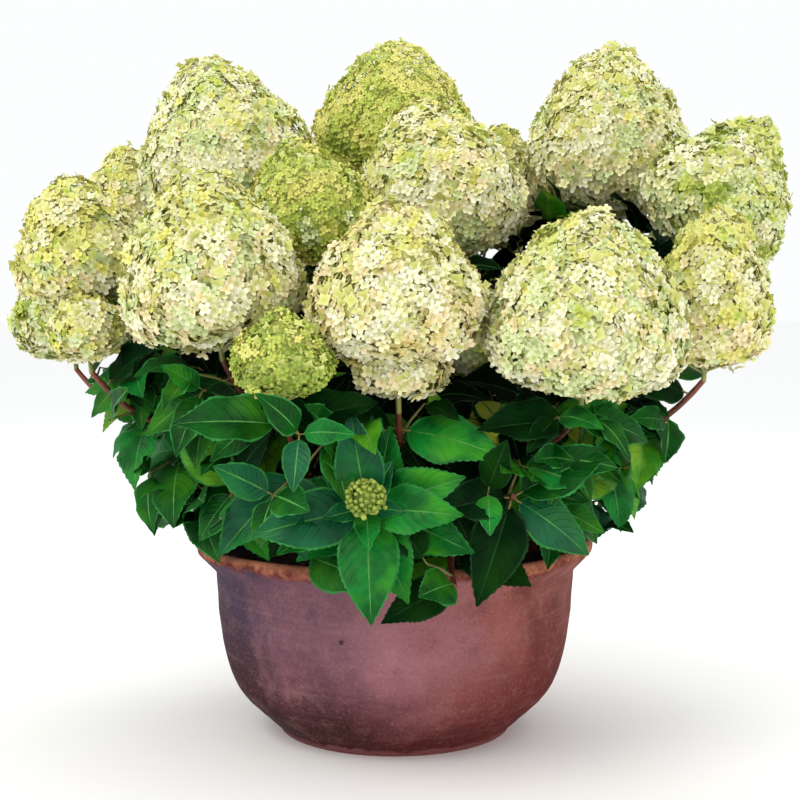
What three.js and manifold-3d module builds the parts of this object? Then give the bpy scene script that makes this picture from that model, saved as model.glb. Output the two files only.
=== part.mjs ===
// Potted panicle hydrangea in flower: a round terracotta bowl, its soil, a short woody trunk, main
// boughs, masses of leafy canes, and large cone-shaped flower heads at the canes' tips.
// Millimetres, +Z up, the front towards -Y, the origin at the centre of the bowl's flat underside.
import * as THREE from "three";
import { mergeVertices } from "three/addons/utils/BufferGeometryUtils.js";
import Module from "manifold-3d";

const wasm = await Module();
wasm.setup();

// Driving dimensions
const GAP = 0.3; // clearance between pieces that touch
const SEED = 25; // of the leaves' sizes and turns
const SLIVER = 0.2; // detail finer than this is smoothed away where a mass is joined
const UP = new THREE.Vector3(0, 0, 1);
const FRONT = new THREE.Vector3(0, -1, 0);

// The bowl, its soil, and the trunk standing on the soil
const BOWL = {
  sides: 34,
  // Radius and height of the outside, from the foot up to the neck
  side: [
    [132, 0],
    [136, 6],
    [153, 22],
    [177, 46],
    [190, 72],
    [201, 122],
    [206, 188],
  ],
  neckRadius: 206,
  neckHeight: 188,
  rimRadius: 228,
  rimHeight: 214,
  lipRadius: 7,
  wall: 12,
  floor: 15,
};
const SOIL = { edgeHeight: 184, shoulderRadius: 169, shoulderHeight: 187, crownHeight: 194, flatRadius: 60 };
const TRUNK = {
  sides: 10,
  height: 52,
  lean: 5,
  // Radius and height of the stump's side, from its root flare up
  side: [
    [38, 0],
    [32, 7],
    [26, 20],
    [24, 36],
    [17, 47],
  ],
};
// A bough leaves the trunk at one of two heights and bends up past its elbow. Its stem forks into
// canes at even shares of the fork's length, and each cane is a little thinner than the last.
const BOUGH = {
  sides: 6,
  steps: 4,
  footRadius: 7,
  tipRadius: 5.5,
  footHeight: 17,
  footStep: 15,
  elbowAt: 0.6,
  elbowRise: 0.38,
};
const FORK = { length: 26, firstShare: 0.15, nextShare: 0.09 };
const CANE = {
  sides: 3,
  steps: 5,
  footRadius: 5,
  tipRadius: 3.6,
  thinning: 0.05,
  leaving: 0.3,
  arriving: 0.4,
};
// Where a head is widest, how full its shoulders are, how far its knobs stand out (as shares of
// its height and radius), its bare stalk, and the size of its patches
const HEAD = {
  widestAt: 0.3,
  fullness: 0.6,
  knob: 0.08,
  unevenness: 0.08,
  stalk: 16,
  patchWidth: 28,
  patchHeight: 38,
};
const LEAF = {
  length: 108,
  smallest: 0.82, // the smallest leaf's share of the length, and how far leaves differ
  spread: 0.28,
  width: 0.5, // the leaf's sizes below are shares of its length
  thickness: 0.024,
  shoulderAt: 0.36,
  waistAt: 0.68,
  waistWidth: 0.74,
  arch: 0.03,
  tipDrop: 0.1,
  sunkIn: 0.01,
  lowestShare: 0.4, // of the cane that stays bare at its foot
  swing: 0.5, // how far a joint's leaves may turn, in radians
  forward: 0.4, // how far the leaves lean along their cane
};
// How leaves stand on a cane: the bare length at its end, the number of whorls there, the spacing
// of its joints, how far the leaves hang and how far their faces turn along the cane
const FLOWERING = { bare: 22, whorls: 0, spacing: 66, droop: 0.45, face: 0.35 };
const LEAFY = { bare: 5, whorls: 1, spacing: 70, droop: 0.5, face: 0.35 };
const ROSETTE = { bare: 6, whorls: 3, spacing: 22, droop: 0.12, face: 2.5 };
// A leaf that has no room tries these turns and shares of its length, in order
const TRIES = [
  [0, 1],
  [0.35, 1],
  [-0.35, 1],
  [0.7, 0.85],
  [-0.7, 0.85],
  [0, 0.7],
];
// A side shoot ends level at one height, hanging below it and rising above
const SHOOT = { levelAt: 262, turn: 100, lowest: -0.35, highest: 0.6 };
// Leaves face up and a little outwards. At the front they turn to the light there; that pull
// fades towards the back.
const LIGHT = { upward: 0.8, outward: 0.4, pull: 0.8, reach: 0.7, fade: 250 };
// Space that the leaves keep to: half widths at the rim's height, and their growth with height. Leaves
// hang over the rim near one place, less and less to each side, and elsewhere stay clear of the rim.
const CROWN = {
  width: 272,
  depth: 338,
  spreadX: 0.46,
  spreadY: 0.3,
  highest: 660,
  hangAt: 40,
  hangTo: 158,
  parting: 0.5,
  clearOfRim: 224,
};

// The plant's limbs, clockwise from the left as seen from above. Each bough ends at its tip, where
// its leaf mass takes over. A head goes from its foot, at the cane's end, to its apex. A side shoot
// bears leaves alone. All are points in millimetres.
const LIMBS = [
  {
    name: "left",
    tip: [-112, -16, 286],
    heads: [
      { name: "left", foot: [-334, -58, 495], apex: [-366, -66, 628], radius: 71, tint: "yellow" },
      { name: "left_low", foot: [-382, 72, 428], apex: [-396, 80, 552], radius: 66, tint: "mint" },
      { name: "left_small", foot: [-328, -112, 436], apex: [-336, -116, 506], radius: 42, tint: "yellow" },
    ],
    shoots: [
      [-282, -70, 420],
      [-236, -90, 332],
      [-212, -110, 276],
      [-230, 0, 300],
    ],
  },
  {
    name: "left_back",
    tip: [-96, 56, 290],
    heads: [
      { name: "left_high", foot: [-324, 172, 556], apex: [-342, 180, 680], radius: 60, tint: "yellow" },
      { name: "left_back", foot: [-318, 236, 430], apex: [-340, 254, 566], radius: 72, tint: "cream" },
    ],
    shoots: [
      [-262, 95, 320],
      [-215, 200, 290],
      [-190, 60, 430],
    ],
  },
  {
    name: "back_left",
    tip: [-50, 92, 300],
    heads: [
      { name: "top_left", foot: [-182, 104, 584], apex: [-233, 96, 776], radius: 105, tint: "cream" },
      { name: "back_left", foot: [-152, 268, 462], apex: [-168, 296, 622], radius: 86, tint: "lime" },
    ],
    shoots: [
      [-110, 262, 300],
      [-70, 150, 570],
    ],
  },
  {
    name: "back",
    tip: [12, 112, 300],
    heads: [
      { name: "top_back", foot: [-4, 226, 636], apex: [3, 236, 818], radius: 101, tint: "lime" },
      { name: "back", foot: [14, 330, 440], apex: [16, 360, 600], radius: 88, tint: "blush" },
    ],
    shoots: [
      [40, 285, 295],
      [150, 250, 300],
      [50, 170, 480],
    ],
  },
  {
    name: "back_right",
    tip: [86, 66, 298],
    heads: [
      { name: "top_right", foot: [255, 122, 598], apex: [264, 130, 796], radius: 100, tint: "cream" },
      {
        name: "high_right",
        foot: [142, 194, 560],
        apex: [134, 200, 706],
        radius: 51,
        tint: "yellow",
        fullness: 0.42,
      },
      { name: "back_right", foot: [212, 278, 458], apex: [232, 308, 612], radius: 82, tint: "mint" },
    ],
    shoots: [
      [245, 150, 295],
      [265, 70, 340],
      [190, 80, 556],
      [262, 50, 540],
      [296, 96, 566],
      [112, 150, 540],
    ],
  },
  {
    name: "right",
    tip: [112, -18, 290],
    heads: [
      { name: "right", foot: [327, -150, 430], apex: [336, -164, 594], radius: 64, tint: "yellow" },
      {
        name: "right_high",
        foot: [330, -34, 554],
        apex: [416, -40, 698],
        radius: 83,
        tint: "mint",
        fullness: 0.9,
      },
      { name: "right_back", foot: [344, 170, 446], apex: [366, 182, 592], radius: 76, tint: "cream" },
    ],
    shoots: [
      [306, -100, 408],
      [232, -84, 330],
      [222, -70, 268],
    ],
  },
  {
    name: "front_right",
    tip: [78, -78, 288],
    heads: [
      { name: "front_right", foot: [188, -236, 408], apex: [196, -252, 586], radius: 100, tint: "cream" },
      { name: "middle_small", foot: [92, -84, 412], apex: [94, -90, 508], radius: 50, tint: "mint" },
    ],
    shoots: [
      [170, -170, 300],
      [120, -240, 300],
      [60, -266, 214],
      [150, -120, 390],
    ],
  },
  {
    name: "front",
    tip: [6, -106, 274],
    heads: [
      {
        name: "front",
        foot: [4, -242, 440],
        apex: [2, -254, 594],
        radius: 87,
        tint: "blush",
        tier: { drop: 36, radius: 47, height: 84 },
      },
      { name: "bud", foot: [-27, -300, 304], apex: [-28, -326, 318], radius: 14, tint: "lime", bud: true },
    ],
    shoots: [
      [30, -190, 352],
      [-70, -170, 372],
    ],
  },
  {
    name: "front_left",
    tip: [-70, -84, 290],
    heads: [
      { name: "front_left", foot: [-178, -194, 454], apex: [-200, -206, 628], radius: 93, tint: "cream" },
      { name: "front_small", foot: [-106, -292, 410], apex: [-108, -300, 486], radius: 50, tint: "lime" },
    ],
    shoots: [
      [-168, -196, 300],
      [-96, -256, 330],
      [-90, -250, 240],
      [-190, -160, 410],
    ],
  },
  {
    name: "middle",
    tip: [-4, 4, 340],
    heads: [
      { name: "top_middle", foot: [68, 22, 544], apex: [24, 34, 718], radius: 98, tint: "cream" },
      { name: "middle_left", foot: [-84, -52, 540], apex: [-112, -62, 668], radius: 72, tint: "lime" },
    ],
    shoots: [
      [-20, -60, 450],
      [110, -30, 510],
      [38, -104, 416],
      [10, 90, 540],
    ],
  },
];

// Finishes, one for each kind of piece
const finish = (color, roughness) =>
  new THREE.MeshStandardMaterial({ color, roughness, metalness: 0, flatShading: true });
const terracotta = finish(0x9a6058, 0.85);
const soilFinish = finish(0x2c211b, 0.95);
const bark = finish(0x6d4a38, 0.8);
const leafGreen = finish(0x1f6a34, 0.45);
const SEPALS = {
  cream: finish(0xdedcae, 0.7),
  blush: finish(0xdfcda4, 0.7),
  yellow: finish(0xd3cb7c, 0.7),
  mint: finish(0xbecb93, 0.7),
  lime: finish(0xabba52, 0.7),
};

// A repeatable number from 0 to 1 for a few whole-number keys
function wobble(...keys) {
  const mixed = keys.reduce((sum, key, i) => sum + key * (12.9898 + 65.2431 * i), 4.137);
  const wave = Math.sin(mixed) * 43758.5453;
  return wave - Math.floor(wave);
}

const point = (numbers) => new THREE.Vector3(...numbers);

// Solids and meshes
function solidOf(geometry) {
  const bare = new THREE.BufferGeometry();
  bare.setAttribute("position", geometry.getAttribute("position"));
  bare.setIndex(geometry.index);
  const merged = mergeVertices(bare, 1e-4);
  const corners = merged.index.array;
  const kept = [];
  for (let i = 0; i < corners.length; i += 3) {
    const [a, b, c] = corners.slice(i, i + 3);
    if (a !== b && b !== c && a !== c) kept.push(a, b, c);
  }
  return new wasm.Manifold(
    new wasm.Mesh({
      numProp: 3,
      vertProperties: merged.attributes.position.array,
      triVerts: new Uint32Array(kept),
    }),
  );
}

function geometryOf(solid) {
  const mesh = solid.getMesh();
  const geometry = new THREE.BufferGeometry();
  geometry.setAttribute("position", new THREE.BufferAttribute(mesh.vertProperties, 3));
  geometry.setIndex(new THREE.BufferAttribute(mesh.triVerts, 1));
  return geometry;
}

// A mesh whose own origin is at the place where the piece is joined on
function pieceOf(name, solid, material, origin = new THREE.Vector3()) {
  const local = solid.translate([-origin.x, -origin.y, -origin.z]);
  const mesh = new THREE.Mesh(geometryOf(local), material);
  mesh.name = name;
  mesh.position.copy(origin);
  return mesh;
}

// A profile of [radius, height] pairs turned about the vertical axis
function turned(profile, sides) {
  const outline = profile.map(([radius, height]) => new THREE.Vector2(radius, height));
  return new THREE.LatheGeometry(outline, sides).rotateX(Math.PI / 2);
}

// A round limb that tapers along a curve: a cylinder, bent
function limb(curve, footRadius, tipRadius, sides, steps) {
  const geometry = new THREE.CylinderGeometry(1, 1, 1, sides, steps);
  const frames = curve.computeFrenetFrames(steps);
  const places = geometry.getAttribute("position");
  for (let i = 0; i < places.count; i += 1) {
    const share = places.getY(i) + 0.5;
    const step = Math.round(share * steps);
    const radius = THREE.MathUtils.lerp(footRadius, tipRadius, share);
    const place = curve
      .getPointAt(share)
      .addScaledVector(frames.normals[step], places.getZ(i) * radius)
      .addScaledVector(frames.binormals[step], places.getX(i) * radius);
    places.setXYZ(i, place.x, place.y, place.z);
  }
  return geometry;
}

// Radius of the bowl's outside at a height
function bowlRadius(height) {
  const above = BOWL.side.findIndex(([, z]) => z >= height);
  const [[lowRadius, low], [highRadius, high]] = BOWL.side.slice(Math.max(0, above - 1), above + 1);
  return THREE.MathUtils.mapLinear(height, low, high, lowRadius, highRadius);
}

function steps(from, to, count) {
  return Array.from({ length: count + 1 }, (_, i) => from + ((to - from) * i) / count);
}

// The inside of the bowl, from the middle of its floor up to the soil's edge
function bowlInside(clearance) {
  const wall = steps(BOWL.floor + 18, SOIL.edgeHeight, 3);
  return [
    [0, BOWL.floor + clearance],
    [bowlRadius(BOWL.floor) - 2 * BOWL.wall - clearance, BOWL.floor + clearance],
    ...wall.map((height) => [bowlRadius(height) - BOWL.wall - clearance, height]),
  ];
}

// Below its rolled lip the rim flares out from the neck
function makeBowl() {
  const lip = BOWL.lipRadius;
  const roll = steps(-0.3 * Math.PI, 0.9 * Math.PI, 5).map((angle) => [
    BOWL.rimRadius - lip + lip * Math.cos(angle),
    BOWL.rimHeight + lip * Math.sin(angle),
  ]);
  const profile = [
    [0, 0],
    ...BOWL.side,
    ...roll,
    [BOWL.neckRadius - 3, BOWL.neckHeight + 12],
    ...bowlInside(0).reverse(),
  ];
  return solidOf(turned(profile, BOWL.sides));
}

function makeSoil() {
  const crown = [
    [SOIL.shoulderRadius, SOIL.shoulderHeight],
    [SOIL.flatRadius, SOIL.crownHeight],
    [0, SOIL.crownHeight],
  ];
  return solidOf(turned([...bowlInside(1.5 * GAP), ...crown], BOWL.sides));
}

// The trunk: a stump with a root flare, standing on the soil. Grown by a clearance, it cuts the
// boughs' feet to its own shape.
function makeTrunk(clearance = 0) {
  const foot = SOIL.crownHeight + GAP;
  const profile = [
    [0, foot],
    ...TRUNK.side.map(([radius, height]) => [radius, foot + height]),
    [0, foot + TRUNK.height],
  ].map(([radius, height], i, all) => [
    radius > 0 ? radius + clearance : 0,
    height + (i > all.length - 3 ? clearance : 0),
  ]);
  const geometry = turned(profile, TRUNK.sides);
  const places = geometry.getAttribute("position");
  for (let i = 0; i < places.count; i += 1) {
    const around = Math.floor(i / profile.length) % TRUNK.sides;
    const lift = (places.getZ(i) - foot) / TRUNK.height;
    const lump = 1 + 0.16 * (wobble(around, 3) - 0.5) * Math.max(0, 1 - lift);
    places.setX(i, places.getX(i) * lump + TRUNK.lean * lift);
    places.setY(i, places.getY(i) * lump);
  }
  return solidOf(geometry);
}

// A bough's curve leaves the trunk outwards, at one of two heights in turn, and bends up to its tip
function boughCurve(tip, turn) {
  const footHeight = SOIL.crownHeight + BOUGH.footHeight + BOUGH.footStep * (turn % 2);
  const foot = new THREE.Vector3(0, 0, footHeight);
  const elbow = foot.clone().lerp(tip, BOUGH.elbowAt);
  elbow.z = THREE.MathUtils.lerp(foot.z, tip.z, BOUGH.elbowRise);
  return new THREE.QuadraticBezierCurve3(foot, elbow, tip);
}

// A cane's curve leaves between the bough's direction and its own aim, and ends along a set way
function caneCurve(start, direction, end, ending) {
  const reach = start.distanceTo(end);
  const leaving = end.clone().sub(start).normalize().add(direction).normalize();
  return new THREE.CubicBezierCurve3(
    start,
    start.clone().addScaledVector(leaving, CANE.leaving * reach),
    end.clone().addScaledVector(ending, -CANE.arriving * reach),
    end,
  );
}

// Flower heads: a cone with round shoulders, covered all over in knobs of florets
function headRadius(share, fullness) {
  const power = Math.log(0.5) / Math.log(HEAD.widestAt);
  return Math.pow(Math.max(0, Math.sin(Math.PI * Math.pow(share, power))), fullness);
}

// Raises each four-sided patch of a turned shape to a low point in its middle
function knobbed(geometry, height, seed) {
  const places = geometry.getAttribute("position");
  const index = geometry.index.array;
  const vertex = (i) => new THREE.Vector3().fromBufferAttribute(places, i);
  const corners = [];
  for (let i = 0; i < index.length; i += 6) {
    const [a, b, d, c] = [index[i], index[i + 1], index[i + 2], index[i + 3]].map(vertex);
    const normal = c.clone().sub(a).cross(d.clone().sub(b)).normalize();
    const middle = a.clone().add(b).add(c).add(d).divideScalar(4);
    middle.addScaledVector(normal, height * (0.7 + 0.6 * wobble(i, seed)));
    corners.push(a, b, middle, b, c, middle, c, d, middle, d, a, middle);
  }
  return new THREE.BufferGeometry().setFromPoints(corners);
}

// A dome of florets; every second ring of its patches is turned by half a patch
function dome(radius, height, seed, columns, rows, fullness = HEAD.fullness) {
  const shares = steps(0, 1, rows + 1).map((share) => Math.pow(share, 1.1));
  const profile = shares.map((share) => [radius * headRadius(share, fullness), height * share]);
  const geometry = turned(profile, columns);
  const places = geometry.getAttribute("position");
  for (let i = 0; i < places.count; i += 1) {
    const row = i % profile.length;
    const column = Math.floor(i / profile.length) % columns;
    const turn = ((row % 2) * Math.PI) / columns;
    const uneven = 1 + HEAD.unevenness * (wobble(column, row, seed) - 0.5);
    const outward = new THREE.Vector3(places.getX(i), places.getY(i), 0).multiplyScalar(uneven);
    outward.applyAxisAngle(UP, turn);
    places.setXY(i, outward.x, outward.y);
  }
  return solidOf(knobbed(geometry, HEAD.knob * radius, seed));
}

// Length of the stalk that shows below a head
const stalkOf = (head) => HEAD.stalk + (head.tier ? head.tier.drop : 0);

// A head stands upright on its stalk's foot; a long one hangs a second, smaller tier of florets
function makeHead(head, seed) {
  const height = point(head.foot).distanceTo(point(head.apex));
  const bareLength = stalkOf(head);
  const stalkLength = bareLength + 0.3 * height;
  const stalk = new THREE.CylinderGeometry(0.9 * CANE.tipRadius, CANE.tipRadius, stalkLength, 5)
    .rotateX(Math.PI / 2)
    .translate(0, 0, stalkLength / 2);
  const columns = head.bud ? 5 : Math.round(5 + head.radius / HEAD.patchWidth);
  const rows = head.bud ? 1 : Math.round(2 + head.radius / HEAD.patchHeight);
  const top = dome(head.radius, height, seed, columns, rows, head.fullness);
  const solid = solidOf(stalk).add(top.translate([0, 0, bareLength]));
  if (!head.tier) return solid;
  const tier = dome(head.tier.radius, head.tier.height, seed + 1, 7, 2);
  return solid.add(tier.translate([0, 0, bareLength - head.tier.drop]));
}

// Where a head's stalk meets its cane, and the way the head points
function headFrame(head) {
  const axis = point(head.apex).sub(point(head.foot)).normalize();
  const turn = new THREE.Quaternion().setFromUnitVectors(UP, axis);
  const foot = point(head.foot).addScaledVector(axis, -stalkOf(head));
  return { axis, turn, foot };
}

function placed(solid, frame) {
  const matrix = new THREE.Matrix4().compose(frame.foot, frame.turn, new THREE.Vector3(1, 1, 1));
  return solid.transform(matrix.elements);
}

// Leaves: an arched, pointed blade with a low ridge in its middle
function leafSolid(root, direction, facing, length) {
  const side = facing.clone().cross(direction).normalize();
  const lift = direction.clone().cross(side).normalize();
  const at = (along, across, up) =>
    root
      .clone()
      .addScaledVector(direction, along * length)
      .addScaledVector(side, across * length)
      .addScaledVector(lift, up * length);
  const half = LEAF.width / 2;
  const waist = half * LEAF.waistWidth;
  const corners = [
    at(-LEAF.sunkIn, 0, 0),
    at(LEAF.shoulderAt, -half, LEAF.arch),
    at(LEAF.waistAt, -waist, 0),
    at(1, 0, -LEAF.tipDrop),
    at(LEAF.waistAt, waist, 0),
    at(LEAF.shoulderAt, half, LEAF.arch),
    at((LEAF.shoulderAt + LEAF.waistAt) / 2, 0, LEAF.arch + LEAF.thickness),
  ];
  const upper = [6, 0, 1, 6, 1, 2, 6, 2, 3, 6, 3, 4, 6, 4, 5, 6, 5, 0];
  const lower = [0, 5, 1, 1, 5, 4, 1, 4, 2, 2, 4, 3];
  const blade = new THREE.BufferGeometry().setFromPoints(corners);
  blade.setIndex([...upper, ...lower]);
  const solid = solidOf(blade);
  return { solid, tip: corners[3], box: solid.boundingBox() };
}

function near(a, b, margin) {
  return [0, 1, 2].every(
    (axis) => a.min[axis] - margin < b.max[axis] && b.min[axis] - margin < a.max[axis],
  );
}

// True if a leaf keeps to the crown's space and stays clear of every other piece
function fits(leaf, others) {
  const { tip, box, solid } = leaf;
  const rise = tip.z - BOWL.rimHeight;
  const reach = Math.hypot(
    tip.x / (CROWN.width + CROWN.spreadX * rise),
    tip.y / (CROWN.depth + CROWN.spreadY * rise),
  );
  const parted = CROWN.hangTo + CROWN.parting * Math.abs(tip.x - CROWN.hangAt);
  const lowest = Math.min(parted, CROWN.clearOfRim);
  if (reach > 1 || tip.z < lowest || tip.z > CROWN.highest) return false;
  const clearance = 2 * GAP;
  return others.every(
    (other) =>
      !near(box, other.box, clearance) || solid.minGap(other.solid, 2 * clearance) > clearance,
  );
}

// Pairs of leaves up a cane, each pair a quarter turn on from the last, and a whorl at a leafy
// cane's end. Leaves of one joint meet at their roots. A leaf that finds no room is left out.
function leavesOn(cane, seed, others) {
  const { curve, bare, whorls, spacing } = cane;
  const length = curve.getLength();
  const count = Math.floor((length * (1 - LEAF.lowestShare) - bare) / spacing) + 1;
  const kept = [];
  for (let node = 0; node < count; node += 1) {
    const along = Math.min(1, (length - bare - node * spacing) / length);
    const joint = Math.min(CANE.steps - 1, Math.floor(along * CANE.steps));
    const [low, high] = [joint, joint + 1].map((step) => curve.getPointAt(step / CANE.steps));
    const root = low.clone().lerp(high, along * CANE.steps - joint);
    const growth = high.clone().sub(low).normalize();
    const across = growth.clone().cross(new THREE.Vector3(0.31, 0.87, 0.38)).normalize();
    const sunny = THREE.MathUtils.clamp(LIGHT.reach - root.y / LIGHT.fade, 0, 1);
    const facing = new THREE.Vector3(root.x, root.y, 0).normalize().multiplyScalar(LIGHT.outward);
    facing.addScaledVector(UP, LIGHT.upward).addScaledVector(growth, cane.face);
    facing.addScaledVector(FRONT, LIGHT.pull * sunny);
    const leaves = node < whorls ? 4 : 2;
    const lower = [...others, ...kept];
    for (let side = 0; side < leaves; side += 1) {
      const turn = node * (Math.PI / leaves) + (side * 2 * Math.PI) / leaves;
      const size = LEAF.length * (LEAF.smallest + LEAF.spread * wobble(seed, node, side));
      const droop = -cane.droop * (0.6 + wobble(seed, node, side, 5));
      for (const [swing, shrink] of TRIES) {
        const direction = across
          .clone()
          .applyAxisAngle(growth, turn + swing + LEAF.swing * wobble(seed, node))
          .addScaledVector(growth, LEAF.forward)
          .addScaledVector(UP, droop)
          .normalize();
        const leaf = leafSolid(root, direction, facing, size * shrink);
        if (fits(leaf, lower)) {
          kept.push(leaf);
          break;
        }
      }
    }
  }
  return kept;
}

// Assembly
const hydrangea = new THREE.Group();
const boxed = (solid) => ({ solid, box: solid.boundingBox() });

const bowl = makeBowl();
const soil = makeSoil();
const trunk = makeTrunk();
hydrangea.add(pieceOf("bowl", bowl, terracotta));
hydrangea.add(pieceOf("soil", soil, soilFinish));
hydrangea.add(pieceOf("trunk", trunk, bark));

const headSolids = new Map();
LIMBS.flatMap((plan) => plan.heads).forEach((head, i) => {
  const solid = makeHead(head, 11 + i);
  const frame = headFrame(head);
  const mesh = new THREE.Mesh(geometryOf(solid), SEPALS[head.tint]);
  mesh.name = head.bud ? "flower_bud" : `flower_head_${head.name}`;
  mesh.position.copy(frame.foot);
  mesh.quaternion.copy(frame.turn);
  hydrangea.add(mesh);
  headSolids.set(head, placed(solid, frame));
});

const trunkCutter = makeTrunk(1.2 * GAP);
const boughs = LIMBS.map((plan, i) => {
  const tip = point(plan.tip);
  const curve = boughCurve(tip, i);
  const whole = solidOf(limb(curve, BOUGH.footRadius, BOUGH.tipRadius, BOUGH.sides, BOUGH.steps));
  const solid = whole.subtract(trunkCutter);
  hydrangea.add(pieceOf(`bough_${plan.name}`, solid, bark, tip));
  return boxed(solid);
});

// The wood of a cane along its curve; each cane of a mass is a little thinner than the last
function caneWood(curve, n) {
  const footRadius = CANE.footRadius * (1 - CANE.thinning * n);
  return boxed(solidOf(limb(curve, footRadius, CANE.tipRadius, CANE.sides, CANE.steps)));
}

// A flowering cane ends just below its head's stalk: tried once, then moved up to close the gap
function floweringCane(head, solid, start, direction, n) {
  const { axis, foot } = headFrame(head);
  const ending = foot.clone().sub(start).normalize().add(axis).normalize();
  const curveTo = (end) => caneCurve(start, direction, end, ending);
  const trial = foot.clone().addScaledVector(axis, -GAP - CANE.tipRadius);
  const spare = caneWood(curveTo(trial), n).solid.minGap(solid, 4 * CANE.tipRadius) - GAP;
  const curve = curveTo(trial.addScaledVector(axis, spare));
  return { curve, ...caneWood(curve, n), ...(head.bud ? ROSETTE : FLOWERING) };
}

// A leafy cane ends level or hanging where it is low, and rising where it is high
function leafyCane(target, start, direction, n) {
  const end = point(target);
  const climb = (end.z - SHOOT.levelAt) / SHOOT.turn;
  const rise = THREE.MathUtils.clamp(climb, SHOOT.lowest, SHOOT.highest);
  const outward = new THREE.Vector3(end.x, end.y, 0).normalize();
  const ending = outward.addScaledVector(UP, rise).normalize();
  const curve = caneCurve(start, direction, end, ending);
  return { curve, ...caneWood(curve, n), ...LEAFY };
}

// Each mass starts as bare wood, a stem forking into canes, so that leaves keep clear of all canes
const masses = LIMBS.map((plan, i) => {
  const direction = boughCurve(point(plan.tip), i).getTangentAt(1);
  const start = point(plan.tip).addScaledVector(direction, GAP);
  const fork = start.clone().addScaledVector(direction, FORK.length);
  const stemCurve = new THREE.LineCurve3(start, fork);
  const stem = boxed(
    solidOf(limb(stemCurve, BOUGH.tipRadius, CANE.footRadius, BOUGH.sides, 1)),
  );
  const count = plan.heads.length;
  const forkAt = (n) => {
    const share = FORK.firstShare + FORK.nextShare * n;
    return fork.clone().addScaledVector(direction, -FORK.length * share);
  };
  const flowering = plan.heads.map((head, n) =>
    floweringCane(head, headSolids.get(head), forkAt(n), direction, n),
  );
  const leafy = plan.shoots.map((target, n) =>
    leafyCane(target, forkAt(count + n), direction, count + n),
  );
  return { name: plan.name, start, stem, canes: [...flowering, ...leafy], leaves: [] };
});

const bare = [bowl, soil, trunk, ...headSolids.values()].map(boxed);
const fixed = [...bare, ...boughs, ...masses.map((mass) => mass.stem)];
masses.forEach((mass, m) => {
  mass.canes.forEach((cane, c) => {
    const canes = masses.flatMap((other) => other.canes).filter((other) => other !== cane);
    const leaves = masses.flatMap((other) => other.leaves);
    const others = [...fixed, ...canes, ...leaves];
    mass.leaves.push(...leavesOn(cane, SEED + 10 * m + c, others));
  });
  const pieces = [mass.stem, ...mass.canes, ...mass.leaves].map((piece) => piece.solid);
  const solid = wasm.Manifold.union(pieces).simplify(SLIVER);
  hydrangea.add(pieceOf(`foliage_${mass.name}`, solid, leafGreen, mass.start));
});

export default hydrangea;
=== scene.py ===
# Potted panicle hydrangea in flower. The plant grows here by the same rule as its solids: a trunk,
# boughs, canes that carry pairs of leaves, and cone-shaped heads of four-sepalled florets.
# Blender's lengths are metres. The plan and the rule are in millimetres, as for the solids, and MM
# turns them into metres.
import math

import bpy
import numpy as np
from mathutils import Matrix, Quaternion, Vector, kdtree, noise


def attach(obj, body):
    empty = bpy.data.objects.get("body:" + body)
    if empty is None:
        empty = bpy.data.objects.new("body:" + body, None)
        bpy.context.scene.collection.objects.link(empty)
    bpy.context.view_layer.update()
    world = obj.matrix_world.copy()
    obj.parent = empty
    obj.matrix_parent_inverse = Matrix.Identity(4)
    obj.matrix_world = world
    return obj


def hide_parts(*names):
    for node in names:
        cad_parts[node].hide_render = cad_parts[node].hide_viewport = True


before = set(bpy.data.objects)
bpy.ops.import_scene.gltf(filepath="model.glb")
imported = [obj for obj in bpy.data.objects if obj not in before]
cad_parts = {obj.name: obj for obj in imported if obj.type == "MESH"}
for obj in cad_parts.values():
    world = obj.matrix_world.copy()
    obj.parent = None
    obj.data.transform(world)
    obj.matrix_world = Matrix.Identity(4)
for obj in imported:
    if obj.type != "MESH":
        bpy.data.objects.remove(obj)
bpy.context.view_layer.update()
bpy.ops.object.select_all(action="DESELECT")

MM = 0.001
UP = Vector((0, 0, 1))
FRONT = Vector((0, -1, 0))
SEED = 25
GOLDEN_ANGLE = 2.39996

# The plan of the plant, in millimetres and shares
GAP = 0.3
BOWL_SIDE = [(132, 0), (136, 6), (153, 22), (177, 46), (190, 72), (201, 122), (206, 188)]
RIM = {"radius": 228, "height": 214, "lip": 7, "neck": 206, "neck_height": 188}
WALL = 12
FLOOR = 15
SOIL = {"foot": 150, "edge": 184, "crown": 194, "taper": 8}
TRUNK = {"flare": 38, "radius": 24, "height": 52, "lean": 5}
BOUGH = {"foot": 7, "tip": 5.5, "fork": 26, "rise": (17, 32), "elbow": (0.6, 0.38)}
CANE = {"foot": 4.6, "tip": 3.0, "steps": 5, "leaving": 0.3, "arriving": 0.4}
CANE_ASIDE = Vector((0.31, 0.87, 0.38))
HEAD = {"widest": 0.3, "fullness": 0.6, "stalk": 16}
LEAF = {"length": 108, "low": 0.4, "least": 0.82, "more": 0.28, "spread": 0.4, "sag": 0.1}
SHOOT = {"level": 262, "rise": (-0.35, 0.6)}
FLOWERING = {"bare": 22, "whorls": 0, "spacing": 66, "droop": 0.45, "face": 0.35}
LEAFY = {"bare": 5, "whorls": 1, "spacing": 70, "droop": 0.5, "face": 0.35}
ROSETTE = {"bare": 6, "whorls": 3, "spacing": 22, "droop": 0.12, "face": 2.5}
CROWN = {"width": 272, "depth": 338, "spread_x": 0.46, "spread_y": 0.3, "foot": 12, "top": 640}


def head(name, foot, apex, radius, tint, **more):
    return {"name": name, "foot": foot, "apex": apex, "radius": radius, "tint": tint, **more}


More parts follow.
